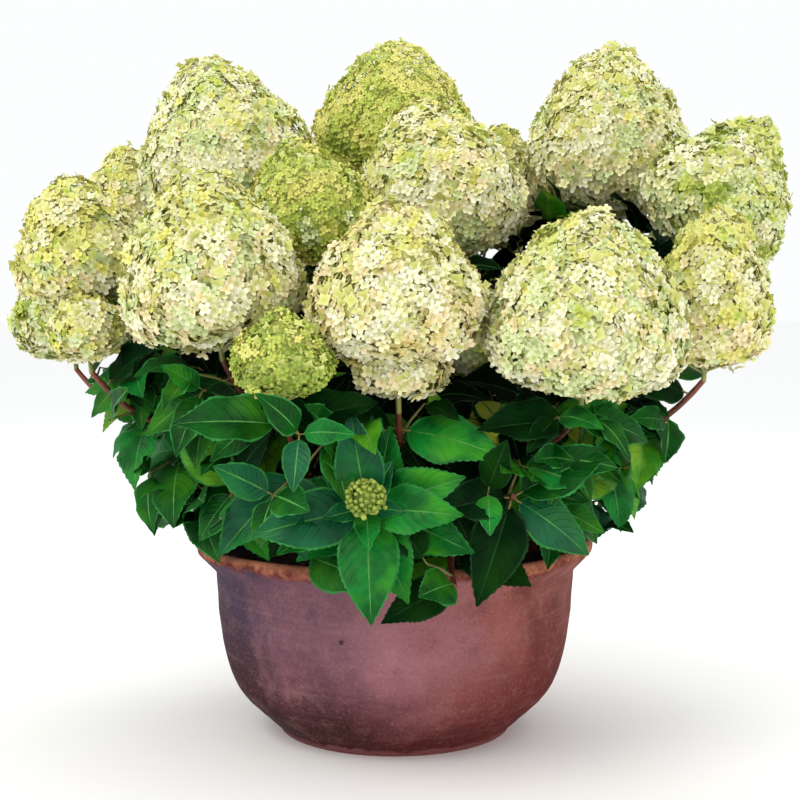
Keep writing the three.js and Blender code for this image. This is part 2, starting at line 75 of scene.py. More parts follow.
# Each limb: the tip of its bough, its flower heads from foot to apex, and its leafy shoots' ends
LIMBS = {
    "left": (
        (-112, -16, 286),
        [
            head("left", (-334, -58, 495), (-366, -66, 628), 71, "yellow"),
            head("left_low", (-382, 72, 428), (-396, 80, 552), 66, "mint"),
            head("left_small", (-328, -112, 436), (-336, -116, 506), 42, "yellow"),
        ],
        [(-282, -70, 420), (-236, -90, 332), (-212, -110, 276), (-230, 0, 300)],
    ),
    "left_back": (
        (-96, 56, 290),
        [
            head("left_high", (-324, 172, 556), (-342, 180, 680), 60, "yellow"),
            head("left_back", (-318, 236, 430), (-340, 254, 566), 72, "cream"),
        ],
        [(-262, 95, 320), (-215, 200, 290), (-190, 60, 430)],
    ),
    "back_left": (
        (-50, 92, 300),
        [
            head("top_left", (-182, 104, 584), (-233, 96, 776), 105, "cream", palette="pale"),
            head("back_left", (-152, 268, 462), (-168, 296, 622), 86, "lime"),
        ],
        [(-110, 262, 300), (-70, 150, 570)],
    ),
    "back": (
        (12, 112, 300),
        [
            # Its sunny palette is painted light: the lime sepals lighter and yellower, as in light
            # from above
            head(
                "top_back", (-4, 226, 636), (3, 236, 818), 101, "lime",
                palette="sunny", fine=True,
            ),
            head("back", (14, 330, 440), (16, 360, 600), 88, "blush"),
        ],
        [(40, 285, 295), (150, 250, 300), (50, 170, 480)],
    ),
    "back_right": (
        (86, 66, 298),
        [
            head("top_right", (255, 122, 598), (264, 130, 796), 100, "cream"),
            head("high_right", (142, 194, 560), (134, 200, 706), 51, "yellow", fullness=0.42),
            head("back_right", (212, 278, 458), (232, 308, 612), 82, "mint"),
        ],
        [
            (245, 150, 295), (265, 70, 340), (190, 80, 556),
            (262, 50, 540), (296, 96, 566), (112, 150, 540),
        ],
    ),
    "right": (
        (112, -18, 290),
        [
            head("right", (327, -150, 430), (336, -164, 594), 64, "yellow"),
            head("right_high", (330, -34, 554), (416, -40, 698), 83, "mint", fullness=0.9),
            head("right_back", (344, 170, 446), (366, 182, 592), 76, "cream"),
        ],
        [(306, -100, 408), (232, -84, 330), (222, -70, 268)],
    ),
    "front_right": (
        (78, -78, 288),
        [
            head("front_right", (188, -236, 408), (196, -252, 586), 100, "cream", palette="pale"),
            head("middle_small", (92, -84, 412), (94, -90, 508), 50, "mint"),
        ],
        [(170, -170, 300), (120, -240, 300), (60, -266, 214), (150, -120, 390)],
    ),
    "front": (
        (6, -106, 274),
        [
            head(
                "front", (4, -242, 440), (2, -254, 594), 87, "blush",
                tier={"drop": 36, "radius": 47, "height": 84},
            ),
            head("bud", (-27, -300, 304), (-28, -326, 318), 14, "lime", palette="fresh", bud=True),
        ],
        [(30, -190, 352), (-70, -170, 372)],
    ),
    "front_left": (
        (-70, -84, 290),
        [
            head("front_left", (-178, -194, 454), (-200, -206, 628), 93, "cream"),
            head(
                "front_small", (-106, -292, 410), (-108, -300, 486), 50, "lime",
                palette="fresh", fine=True,
            ),
        ],
        [(-168, -196, 300), (-96, -256, 330), (-90, -250, 240), (-190, -160, 410)],
    ),
    "middle": (
        (-4, 4, 340),
        [
            head("top_middle", (68, 22, 544), (24, 34, 718), 98, "cream"),
            head("middle_left", (-84, -52, 540), (-112, -62, 668), 72, "lime", fine=True),
        ],
        [(-20, -60, 450), (110, -30, 510), (38, -104, 416), (10, 90, 540)],
    ),
}


def wobble(*keys):
    """A repeatable number from 0 to 1, the same as in the solids"""
    mixed = 4.137 + sum(key * (12.9898 + 65.2431 * i) for i, key in enumerate(keys))
    wave = math.sin(mixed) * 43758.5453
    return wave - math.floor(wave)


def lerp(a, b, share):
    return a + (b - a) * share


def clamp(value, low, high):
    return max(low, min(high, value))


class Curve:
    """A smooth line between control points, measured along its own length"""

    def __init__(self, *controls):
        self.controls = [Vector(c) for c in controls]
        self.times = np.linspace(0, 1, 201)
        points = np.array([self.at(t) for t in self.times])
        spans = np.linalg.norm(np.diff(points, axis=0), axis=1)
        self.reached = np.concatenate([[0], np.cumsum(spans)])
        self.length = float(self.reached[-1])

    def at(self, t):
        points = self.controls
        while len(points) > 1:
            points = [a.lerp(b, t) for a, b in zip(points, points[1:])]
        return points[0]

    def along(self, share):
        return self.at(float(np.interp(share * self.length, self.reached, self.times)))


# The rule that grows the limbs
def bough_curve(tip, turn):
    foot = Vector((0, 0, SOIL["crown"] + BOUGH["rise"][turn % 2]))
    out, up = BOUGH["elbow"]
    elbow = foot.lerp(tip, out)
    elbow.z = lerp(foot.z, tip.z, up)
    return Curve(foot, elbow, tip)


def cane_curve(start, direction, end, ending):
    reach = (end - start).length
    leaving = ((end - start).normalized() + direction).normalized() * CANE["leaving"]
    arriving = ending * CANE["arriving"]
    return Curve(start, start + leaving * reach, end - arriving * reach, end)


def stalk_of(plan):
    return HEAD["stalk"] + (plan["tier"]["drop"] if "tier" in plan else 0)


def head_axis(plan):
    return (Vector(plan["apex"]) - Vector(plan["foot"])).normalized()


def head_node(plan):
    return "flower_bud" if plan.get("bud") else "flower_head_" + plan["name"]


def flowering_cane(plan, start, direction):
    axis = head_axis(plan)
    foot = Vector(plan["foot"]) - axis * stalk_of(plan)
    ending = ((foot - start).normalized() + axis).normalized()
    curve = cane_curve(start, direction, foot - axis * (GAP + CANE["tip"]), ending)
    return {"curve": curve, "head": plan, **(ROSETTE if plan.get("bud") else FLOWERING)}


def leafy_cane(target, start, direction):
    end = Vector(target)
    rise = clamp((end.z - SHOOT["level"]) / 100, *SHOOT["rise"])
    outward = Vector((end.x, end.y, 0)).normalized()
    ending = (outward + UP * rise).normalized()
    return {"curve": cane_curve(start, direction, end, ending), **LEAFY}


def grow_limbs():
    """The boughs' curves and each limb's stem and canes, in the solids' order"""
    grown = []
    for turn, (name, (tip, heads, shoots)) in enumerate(LIMBS.items()):
        tip = Vector(tip)
        bough = bough_curve(tip, turn)
        direction = (bough.controls[2] - bough.controls[1]).normalized()
        start = tip + direction * GAP
        fork = start + direction * BOUGH["fork"]
        forks = [fork - direction * BOUGH["fork"] * (0.15 + 0.09 * n) for n in range(10)]
        canes = [flowering_cane(plan, forks[n], direction) for n, plan in enumerate(heads)]
        for n, target in enumerate(shoots):
            canes.append(leafy_cane(target, forks[len(heads) + n], direction))
        grown.append({"name": name, "bough": bough, "start": start, "fork": fork, "canes": canes})
    return grown


def stretch_at(curve, share):
    """Place and direction on a cane as its solid has it, straight from ring to ring"""
    ring = min(CANE["steps"] - 1, math.floor(share * CANE["steps"]))
    low, high = (curve.along(step / CANE["steps"]) for step in (ring, ring + 1))
    return low.lerp(high, share * CANE["steps"] - ring), (high - low).normalized()


def joint_on(curve, back):
    """Place and growing direction of a joint, a length back from the cane's tip"""
    return stretch_at(curve, min(1, (curve.length - back) / curve.length))


# Leaves: where the rule puts them, and which of its tries the solids kept
TRIES = [(0, 1), (0.35, 1), (-0.35, 1), (0.7, 0.85), (-0.7, 0.85), (0, 0.7)]
TIP_MATCH = 6 * MM
FACING = {"outward": 0.4, "up": 0.8, "front": 0.8, "sunny_from": 0.7, "sunny_depth": 250}


def corners_of(node):
    """A quick search tree of a solid's corners"""
    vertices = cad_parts[node].data.vertices
    tree = kdtree.KDTree(len(vertices))
    for i, vertex in enumerate(vertices):
        tree.insert(vertex.co, i)
    tree.balance()
    return tree


def leaf_place(root, direction, facing, length, tone):
    side = facing.cross(direction).normalized()
    lift = direction.cross(side).normalized()
    axes = {"side": side, "along": direction, "lift": lift}
    return {"root": root, **axes, "length": length, "tone": tone}


def tip_of(leaf):
    return leaf["root"] + (leaf["along"] - leaf["lift"] * LEAF["sag"]) * leaf["length"]


def facing_at(root, growth, face):
    """The way a leaf's upper side looks: up, outwards, along the cane and, at the front, forwards"""
    sunny = clamp(FACING["sunny_from"] - root.y / FACING["sunny_depth"], 0, 1)
    outward = Vector((root.x, root.y, 0)).normalized() * FACING["outward"]
    return outward + UP * FACING["up"] + growth * face + FRONT * FACING["front"] * sunny


def leaves_on(cane, seed, corners):
    curve = cane["curve"]
    leafy = curve.length * (1 - LEAF["low"]) - cane["bare"]
    kept = []
    for node in range(math.floor(leafy / cane["spacing"]) + 1):
        root, growth = joint_on(curve, cane["bare"] + node * cane["spacing"])
        across = growth.cross(CANE_ASIDE).normalized()
        facing = facing_at(root, growth, cane["face"])
        leaves = 4 if node < cane["whorls"] else 2
        for side in range(leaves):
            turn = node * (math.pi / leaves) + side * 2 * math.pi / leaves
            size = LEAF["length"] * (LEAF["least"] + LEAF["more"] * wobble(seed, node, side))
            droop = -cane["droop"] * (0.6 + wobble(seed, node, side, 5))
            for swing, shrink in TRIES:
                spin = Quaternion(growth, turn + swing + 0.5 * wobble(seed, node))
                direction = (spin @ across + growth * LEAF["spread"] + UP * droop).normalized()
                tone = wobble(seed, node, side, 9)
                leaf = leaf_place(root, direction, facing, size * shrink, tone)
                if corners.find(tip_of(leaf) * MM)[2] < TIP_MATCH:
                    kept.append(leaf)
                    break
    return kept


# Finer twigs grow from the canes' joints and bear small leaves, inside the same reach
TWIG = {"length": (26, 58), "leaf": (48, 76), "radius": 1.5, "spacing": 38, "up_to": 0.8}
YOUNG = {"count": 5, "turn": 0.4, "rise": 0.5, "length": (40, 56)}


def inside_head(place):
    """Whether a place lies in a flower head or close around it"""
    for plan in (plan for _, heads, _ in LIMBS.values() for plan in heads):
        foot = Vector(plan["foot"])
        axis = Vector(plan["apex"]) - foot
        share = (place - foot).dot(axis) / axis.length_squared
        aside = (place - foot - axis * share).length
        low = -0.3 if "tier" in plan else -0.05
        if low < share < 1.05 and aside < plan["radius"] * 0.9 + 6:
            return True
    return False


def crown_share(place):
    """How far out a place is in the crown: 0 on the pot's axis and 1 at the solids' reach"""
    rise = place.z - RIM["height"]
    wide = place.x / (CROWN["width"] + CROWN["spread_x"] * rise)
    deep_shade = place.y / (CROWN["depth"] + CROWN["spread_y"] * rise)
    return math.hypot(wide, deep_shade)


def in_reach(place):
    in_height = RIM["height"] + CROWN["foot"] < place.z < CROWN["top"]
    return in_height and crown_share(place) < 1 and not inside_head(place)


def young_whorl(cane, seed):
    """The small new leaves that still stand close about the flower bud"""
    tip = cane["curve"].along(1)
    axis = head_axis(cane["head"])
    leaves = []
    for n in range(YOUNG["count"]):
        angle = n * 2 * math.pi / YOUNG["count"] + YOUNG["turn"]
        aside = Quaternion(axis, angle) @ axis.cross(UP).normalized()
        direction = (aside + axis * YOUNG["rise"]).normalized()
        length = lerp(*YOUNG["length"], wobble(seed, n, 26))
        leaf = leaf_place(tip, direction, axis, length, wobble(seed, n, 27))
        leaves.append({**leaf, "small": True})
    return leaves


def leaves_of_twig(tip, way, keys):
    """Up to three small leaves spread about a twig's tip"""
    leaves = []
    seed, node, _ = keys
    for n in range(3):
        spread = Quaternion(way, n * 2.1 + seed) @ way.cross(UP).normalized()
        droop = 0.5 * wobble(*keys, n, 23)
        direction = (spread + way * 0.55 - UP * droop).normalized()
        length = lerp(*TWIG["leaf"], wobble(*keys, n, 24))
        tone = wobble(seed, node, n, 25)
        leaf = leaf_place(tip, direction, facing_at(tip, way, 0.3), length, tone)
        if in_reach(tip_of(leaf)):
            leaves.append({**leaf, "small": True})
    return leaves


def twigs_on(cane, seed):
    """Side twigs between a cane's pairs of leaves, and the small leaves at their ends"""
    twigs, leaves = [], []
    count = math.floor(cane["curve"].length * TWIG["up_to"] / TWIG["spacing"])
    for node in range(count):
        root, growth = joint_on(cane["curve"], cane["bare"] + (node + 0.3) * TWIG["spacing"])
        across = growth.cross(CANE_ASIDE).normalized()
        for side in range(2):
            keys = (seed, node, side)
            turn = (node + side) * math.pi + node * 1.3 + 2.4 * wobble(*keys, 21)
            outward = Quaternion(growth, turn) @ across
            way = (outward + growth * 0.7 + UP * 0.25).normalized()
            tip = root + way * lerp(*TWIG["length"], wobble(*keys, 22))
            small = leaves_of_twig(tip, way, keys) if in_reach(tip) else []
            if small:
                twigs.append((root, root.lerp(tip, 0.5) + UP * 2, tip))
                leaves += small
    return twigs, leaves


# Making things: selections, models, joined copies of them, and tubes along lines
def deselect():
    if bpy.context.mode != "OBJECT":
        bpy.ops.object.mode_set(mode="OBJECT")
    bpy.ops.object.select_all(action="DESELECT")


def pick(*pieces):
    """Selects these pieces alone, with the first of them active"""
    deselect()
    for piece in pieces:
        piece.select_set(True)
    bpy.context.view_layer.objects.active = pieces[0]


def edit(piece):
    pick(piece)
    bpy.ops.object.mode_set(mode="EDIT")
    bpy.ops.mesh.select_all(action="SELECT")


def closed(piece):
    """Merges doubles and turns every face outwards"""
    edit(piece)
    bpy.ops.mesh.remove_doubles(threshold=0.02 * MM)
    bpy.ops.mesh.normals_make_consistent(inside=False)
    deselect()


def joined(*pieces):
    pick(*pieces)
    bpy.ops.object.join()
    deselect()


def apply_modifier(piece, kind, **settings):
    pick(piece)
    modifier = piece.modifiers.new(kind.title(), kind)
    for key, value in settings.items():
        setattr(modifier, key, value)
    bpy.ops.object.modifier_apply(modifier=modifier.name)
    deselect()


def smooth(piece, angle=180):
    pick(piece)
    if angle < 180:
        bpy.ops.object.shade_smooth_by_angle(angle=math.radians(angle))
    else:
        bpy.ops.object.shade_smooth()
    deselect()


def turned(profile, sides, foot=0, unit=MM):
    """A lathe's work, left in edit mode: a disc drawn up through rings of (radius, height)"""
    (radius, height), *rings = profile
    bpy.ops.mesh.primitive_circle_add(
        vertices=sides, radius=radius * unit, fill_type="NGON",
        location=(0, 0, (foot + height) * unit),
    )
    piece = bpy.context.object
    edit(piece)
    for next_radius, next_height in rings:
        rise = (0, 0, (next_height - height) * unit)
        bpy.ops.mesh.extrude_region_move(TRANSFORM_OT_translate={"value": rise})
        size = next_radius / radius
        centre = (0, 0, (foot + next_height) * unit)
        bpy.ops.transform.resize(value=(size, size, 1), center_override=centre)
        radius, height = next_radius, next_height
    return piece


def finish_piece(piece, name, nodes, materials):
    piece.name = name
    piece.data.name = name
    for material in materials:
        piece.data.materials.append(material)
    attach(piece, "root")
    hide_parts(*nodes)


def remove(pieces):
    for piece in pieces:
        bpy.data.objects.remove(piece, do_unlink=True)


class Batch:
    """Copies of models, gathered and then joined into one mesh with its own set of materials"""

    def __init__(self):
        self.parts = []

    def add(self, model, matrices, finishes):
        """One copy for each matrix; finishes gives each copy's material for each of the model's"""
        if len(matrices):
            self.parts.append((model, np.array(matrices, float), np.array(finishes, int)))

    def piece(self, name):
        points, corners, sizes, painted, maps = [], [], [], [], []
        base = 0
        for model, matrices, finishes in self.parts:
            mesh = model.data
            own = np.empty(len(mesh.vertices) * 3)
            mesh.vertices.foreach_get("co", own)
            own = own.reshape(-1, 3)
            placed = np.einsum("nij,vj->nvi", matrices[:, :3, :3], own) + matrices[:, None, :3, 3]
            loops = np.empty(len(mesh.loops), int)
            mesh.loops.foreach_get("vertex_index", loops)
            totals = np.array([len(face.vertices) for face in mesh.polygons])
            kinds = np.array([face.material_index for face in mesh.polygons])
            flat = np.empty(len(mesh.loops) * 2)
            mesh.uv_layers[0].data.foreach_get("uv", flat)
            count = len(matrices)
            starts = base + np.arange(count)[:, None] * len(own)
            points.append(placed.reshape(-1, 3))
            corners.append((loops[None, :] + starts).reshape(-1))
            sizes.append(np.tile(totals, count))
            painted.append(finishes[:, kinds].reshape(-1))
            maps.append(np.tile(flat, count))
            base += count * len(own)
        mesh = bpy.data.meshes.new(name)
        points, corners, sizes = map(np.concatenate, (points, corners, sizes))
        mesh.vertices.add(len(points))
        mesh.vertices.foreach_set("co", points.reshape(-1))
        mesh.loops.add(len(corners))
        mesh.loops.foreach_set("vertex_index", corners)
        mesh.polygons.add(len(sizes))
        starts = np.concatenate([[0], np.cumsum(sizes)[:-1]])
        mesh.polygons.foreach_set("loop_start", starts)
        mesh.polygons.foreach_set("material_index", np.concatenate(painted))
        mesh.uv_layers.new(name="UVMap").data.foreach_set("uv", np.concatenate(maps))
        mesh.update(calc_edges=True)
        mesh.validate()
        mesh.shade_smooth()
        piece = bpy.data.objects.new(name, mesh)
        bpy.context.scene.collection.objects.link(piece)
        return piece


def matrix_of(x_axis, y_axis, z_axis, place, size):
    """A copy's 4x4 matrix from its axes and size, and its place in millimetres"""
    columns = [x_axis * size, y_axis * size, z_axis * size, place * MM]
    return [[column[row] for column in columns] for row in range(3)] + [[0, 0, 0, 1]]


def tubes(name, lines, sides):
    """Round limbs along lines of (point, radius) in millimetres, made as one bevelled curve"""
    curve = bpy.data.curves.new(name, "CURVE")
    curve.dimensions = "3D"
    curve.bevel_depth = 1
    curve.bevel_resolution = (sides - 4) // 2
    curve.use_fill_caps = True
    for line in lines:
        spline = curve.splines.new("POLY")
        spline.points.add(len(line) - 1)
        for point, (place, radius) in zip(spline.points, line):
            point.co = (*(place * MM), 1)
            point.radius = radius * MM
    piece = bpy.data.objects.new(name, curve)
    bpy.context.scene.collection.objects.link(piece)
    pick(piece)
    bpy.ops.object.convert(target="MESH")
    piece = bpy.context.object
    deselect()
    return piece


# Finishes
def srgb(code):
    """A colour as it is seen, such as "9a6058", as the linear values that shaders take"""
    seen = [int(code[i : i + 2], 16) / 255 for i in (0, 2, 4)]
    linear = [c / 12.92 if c <= 0.04045 else ((c + 0.055) / 1.055) ** 2.4 for c in seen]
    return (*linear, 1)


class Finish:
    """A material, with short calls for the nodes that paint it"""

    def __init__(self, name, roughness, gloss=0.5):
        self.material = bpy.data.materials.new(name)
        self.material.use_nodes = True
        self.nodes = self.material.node_tree.nodes
        self.links = self.material.node_tree.links
        self.shader = self.nodes["Principled BSDF"]
        self.shader.inputs["Roughness"].default_value = roughness
        self.shader.inputs["Specular IOR Level"].default_value = gloss
        self.place = self.nodes.new("ShaderNodeTexCoord").outputs["Object"]

    def join(self, value, socket):
        if hasattr(value, "is_output"):
            self.links.new(value, socket)
        else:
            socket.default_value = value

    def node(self, kind, output, inputs, **settings):
        """A new node with its inputs joined or set; gives the output that is wanted"""
        node = self.nodes.new("ShaderNode" + kind)
        for key, value in settings.items():
            setattr(node, key, value)
        for socket, value in inputs.items():
            self.join(value, node.inputs[socket])
        return node.outputs[output]

    def stretched(self, scale):
        return self.node("Mapping", "Vector", {"Scale": scale, "Vector": self.place})

    def noise(self, scale, detail=4.0, roughness=0.55, vector=None):
        inputs = {"Scale": scale, "Detail": detail, "Roughness": roughness}
        return self.node("TexNoise", "Fac", {**inputs, "Vector": vector or self.place})

    def cells(self, scale, output="Distance"):
        return self.node("TexVoronoi", output, {"Scale": scale, "Vector": self.place})

    def axis(self, letter, vector=None):
        return self.node("SeparateXYZ", letter, {"Vector": vector or self.place})

    def own_map(self, letter):
        uv = self.node("UVMap", "UV", {}, uv_map="UVMap")
        return self.axis(letter, uv)

    def distance_to(self, point):
        return self.node("VectorMath", "Value", {0: self.place, 1: point}, operation="DISTANCE")

    def between(self, value, low, high, start=0.0, end=1.0):
        ends = {"From Min": low, "From Max": high, "To Min": start, "To Max": end}
        return self.node("MapRange", "Result", {"Value": value, **ends})

    def sum(self, kind, a, b=0.0):
        return self.node("Math", "Value", {0: a, 1: b}, operation=kind)

    def waver(self, value, tone, amount):
        """The value, moved up and down by a noise"""
        return self.sum("ADD", value, self.between(tone, 0.3, 0.7, -amount, amount))

    def mix(self, share, a, b):
        return self.node("Mix", 2, {"Factor": share, 6: a, 7: b}, data_type="RGBA")

    def two_tone(self, tone, dark, light):
        return self.mix(self.between(tone, 0.35, 0.65), srgb(dark), srgb(light))

    def colour(self, value):
        self.join(value, self.shader.inputs["Base Color"])

    def roughness(self, tone, low, high):
        self.join(self.between(tone, 0.3, 0.7, low, high), self.shader.inputs["Roughness"])

    def bump(self, height, distance, strength=1.0):
        last = self.shader.inputs["Normal"]
        inputs = {"Strength": strength, "Distance": distance, "Height": height}
        if last.is_linked:
            inputs["Normal"] = last.links[0].from_socket
        self.join(self.node("Bump", "Normal", inputs), last)


PIT = (-0.055, -0.196, 0.141)


def terracotta():
    """Weathered clay with painted light and shade: dark slate at its left side as painted shade,
    mauve to red-brown across the front and darker again at the right edge as painted shade, darker
    and redder low down, and a peach painted highlight on the top of its lip"""
    clay = Finish("weathered_terracotta", 0.88, gloss=0.2)
    across = clay.axis("X")
    height = clay.axis("Z")
    mottle = clay.noise(11, 8, 0.62)
    streaks = clay.noise(1, 6, 0.6, clay.stretched((7, 7, 120)))
    grain = clay.noise(330, 4, 0.7)
    blotch = clay.noise(31, 7, 0.66)
    # Across the pot from left to right: dark slate at the left side, painted shade; mauve turning to
    # red-brown; and darker again at the right edge, painted shade
    side = clay.waver(clay.between(across, -0.2, 0.17), mottle, 0.15)
    paint = clay.mix(clay.between(side, 0.12, 0.55), srgb("443448"), srgb("9a6670"))
    paint = clay.mix(clay.between(side, 0.6, 0.9), paint, srgb("8e5048"))
    paint = clay.mix(clay.between(side, 0.9, 1.05), paint, srgb("6b3732"))
    # Darker and redder low down, the band rising towards the left and right edges; its colour is
    # darkest on the left, with the painted shade there
    hollow = clay.sum("MULTIPLY", clay.sum("POWER", across, 2.0), 1.6)
    low_band = clay.waver(clay.sum("SUBTRACT", height, hollow), mottle, 0.02)
    low_colour = clay.mix(clay.between(side, 0.2, 0.8), srgb("300a0a"), srgb("5c1613"))
    paint = clay.mix(clay.between(low_band, 0.025, 0.12, 0.97, 0), paint, low_colour)
    marks = [
        (blotch, 0.52, 0.72, 0.24, "b0807e"),
        (blotch, 0.47, 0.3, 0.34, "45262e"),
        (streaks, 0.54, 0.75, 0.14, "b88a8c"),
        (grain, 0.55, 0.75, 0.3, "c49a92"),
        (grain, 0.45, 0.25, 0.4, "3c1c1e"),
        (clay.noise(34, 6, 0.7), 0.54, 0.7, 0.12, "b27f74"),
    ]
    for tone, low, high, share, code in marks:
        paint = clay.mix(clay.between(tone, low, high, 0, share), paint, srgb(code))
    # A peach painted highlight on the top of the lip, over dark red lower on the lip
    lip = clay.waver(height, clay.noise(22, 4), 0.006)
    lip_highlight_height = clay.sum("ADD", lip, clay.between(clay.noise(70, 5, 0.7), 0.42, 0.6, -0.004, 0.004))
    edge = clay.mix(clay.between(lip_highlight_height, 0.208, 0.221), srgb("6a291b"), srgb("c27e5c"))
    paint = clay.mix(clay.between(lip, 0.204, 0.21, 0, 0.88), paint, edge)
    foot = clay.waver(height, clay.noise(30, 5), 0.005)
    paint = clay.mix(clay.between(foot, 0.009, 0.006, 0, 0.6), paint, srgb("94595a"))
    chosen = clay.sum("GREATER_THAN", clay.axis("X", clay.cells(52, "Color")), 0.97)
    pits = clay.sum("MULTIPLY", clay.between(clay.cells(52), 0.11, 0.06), chosen)
    pits = clay.sum("MAXIMUM", pits, clay.between(clay.distance_to(PIT), 0.0032, 0.0018))
    clay.colour(clay.mix(clay.sum("MULTIPLY", pits, 0.8), paint, srgb("2a1a1a")))
    clay.roughness(mottle, 0.74, 0.95)
    clay.bump(pits, -0.0012)
    clay.bump(streaks, 0.0012, 0.4)
    clay.bump(clay.sum("ADD", clay.sum("MULTIPLY", mottle, 2.0), grain), 0.0012, 0.7)
    return clay.material


def soil_finish():
    earth = Finish("dark_potting_soil", 0.95)
    lumps = earth.noise(60, 8, 0.7)
    paint = earth.two_tone(lumps, "1d1511", "3d2e25")
    flecks = earth.sum("GREATER_THAN", earth.axis("X", earth.cells(160, "Color")), 0.9)
    earth.colour(earth.mix(earth.sum("MULTIPLY", flecks, 0.5), paint, srgb("6b5543")))
    earth.roughness(lumps, 0.85, 1.0)
    earth.bump(lumps, 0.004)
    return earth.material


def bark_finish():
    """Grey-brown outer bark that splits lengthways and shows a redder layer"""
    bark = Finish("peeling_bark", 0.85)
    strips = bark.noise(1, 6, 0.65, bark.stretched((120, 120, 22)))
    paint = bark.two_tone(strips, "4a3026", "8a6650")
    lichen = bark.between(bark.noise(45, 4), 0.58, 0.7, 0, 0.5)
    bark.colour(bark.mix(lichen, paint, srgb("8d8571")))
    bark.roughness(strips, 0.75, 0.95)
    bark.bump(strips, 0.003)
    return bark.material


def cane_finish(name, dark, light):
    """Smooth young wood, speckled with tiny pale pores"""
    cane = Finish(name, 0.5)
    tone = cane.noise(38, 3)
    pores = cane.between(cane.cells(420), 0.22, 0.12, 0, 0.4)
    cane.colour(cane.mix(pores, cane.two_tone(tone, dark, light), srgb("b98f74")))
    cane.roughness(tone, 0.42, 0.62)
    cane.bump(cane.noise(300, 2), 0.0004)
    return cane.material


VEINS = 4.5


def blade_finish(name, dark, light, warm, roughness, gloss):
    """A leaf's blade: puffed a little between side veins that curve towards its tip"""
    blade = Finish(name, roughness, gloss)
    across = blade.sum("ABSOLUTE", blade.sum("SUBTRACT", blade.own_map("X"), 0.5))
    bent = blade.sum("MULTIPLY", blade.sum("POWER", across, 1.3), 1.1)
    along = blade.sum("SUBTRACT", blade.own_map("Y"), bent)
    ridge = blade.sum("COSINE", blade.sum("MULTIPLY", along, VEINS * 2 * math.pi))
    ridge = blade.sum("ABSOLUTE", ridge)
    tone = blade.noise(30, 3)
    paint = blade.two_tone(tone, dark, light)
    paint = blade.mix(blade.between(blade.noise(17, 2), 0.5, 0.68, 0, 0.75), paint, srgb(warm))
    blade.colour(blade.mix(blade.between(ridge, 0.14, 0.0, 0, 0.3), paint, srgb(light)))
    blade.roughness(tone, roughness - 0.06, roughness + 0.1)
    blade.bump(blade.between(ridge, 0.0, 0.45), 0.0008, 0.6)
    blade.bump(blade.noise(420, 2), 0.0003)
    return blade.material


def sepal_finish(name, middle, edge):
    """Matt sepals, greener towards the middle of the floret and finely veined"""
    sepal = Finish(name, 0.62)
    tone = sepal.noise(85, 3)
    spread = sepal.waver(sepal.own_map("X"), tone, 0.25)
    sepal.colour(sepal.mix(sepal.between(spread, 0.12, 0.85), srgb(middle), srgb(edge)))
    sepal.roughness(tone, 0.54, 0.72)
    sepal.bump(sepal.noise(700, 2), 0.0003)
    return sepal.material


def plain_finish(name, dark, light, roughness, gloss=0.5):
    """A finish that varies softly between two near colours"""
    plain = Finish(name, roughness, gloss)
    tone = plain.noise(55, 3)
    plain.colour(plain.two_tone(tone, dark, light))
    plain.roughness(tone, roughness - 0.08, roughness + 0.08)
    plain.bump(plain.noise(440, 2), 0.0003)
    return plain.material


# The bowl, thrown from its foot up over the lip and down inside
BOWL_TURNS = 112
LIP_STEPS = 10


def bowl_outside():
    """The side as a smooth line through the plan's rings, and the rolled lip above the flare"""
    rings = [Vector((radius, 0, height)) for radius, height in BOWL_SIDE]
    last = len(rings) - 1
    line = []
    for n in range(last):
        before, low, high, after = (rings[clamp(n + k, 0, last)] for k in (-1, 0, 1, 2))
        for part in range(4):
            t = part / 4
            bend = (after - before - 3 * high + 3 * low) * t
            bend = bend + 2 * before - 5 * low + 4 * high - after
            line.append(low + 0.5 * ((bend * t + high - before) * t))
    line.append(rings[-1])
    lip = RIM["lip"]
    for n in range(LIP_STEPS + 1):
        angle = lerp(-0.3, 0.9, n / LIP_STEPS) * math.pi
        across = RIM["radius"] - lip + lip * math.cos(angle)
        line.append(Vector((across, 0, RIM["height"] + lip * math.sin(angle))))
    return [(point.x, point.z) for point in line]


# The small waves that a thrower's hand and the kiln leave: depth, count round the rim, start
RIM_WAVES = [(0.9, 2, 0.6), (0.6, 5, 2), (0.35, 11, 0)]
THROWN = {"from": 150, "blend": 60, "shrink": 0.8, "ridge": 0.35, "pitch": 0.55, "lift": 1.3}


def hand_thrown(bowl):
    """Leaves the thrower's ridges in the side, and those waves in the rim"""
    for vertex in bowl.data.vertices:
        x, y, z = vertex.co
        angle = math.atan2(y, x)
        rim = clamp((z / MM - THROWN["from"]) / THROWN["blend"], 0, 1)
        wave = sum(depth * math.sin(count * angle + start) for depth, count, start in RIM_WAVES)
        ridges = THROWN["ridge"] * math.sin(z / MM * THROWN["pitch"] + 0.8 * math.sin(angle))
        outward = (wave * rim - THROWN["shrink"] * rim + ridges) * MM
        grow = 1 + outward / max(0.05, math.hypot(x, y))
        lift = THROWN["lift"] * MM * rim * rim * math.sin(3 * angle + 1)
        vertex.co = (x * grow, y * grow, z + lift)


def make_bowl():
    inside = [(RIM["neck"] - 3, RIM["neck_height"] + 12)]
    for radius, height in reversed(BOWL_SIDE[2:]):
        inside.append((radius - WALL, max(height, FLOOR + 6)))
    inside.append((BOWL_SIDE[1][0] - 2 * WALL, FLOOR))
    bowl = turned(bowl_outside() + inside, BOWL_TURNS)
    closed(bowl)
    hand_thrown(bowl)
    apply_modifier(
        bowl, "BEVEL", width=2.2 * MM, segments=2, limit_method="ANGLE", angle_limit=0.7
    )
    smooth(bowl, 50)
    finish_piece(bowl, "terracotta_bowl", ["bowl"], [terracotta()])


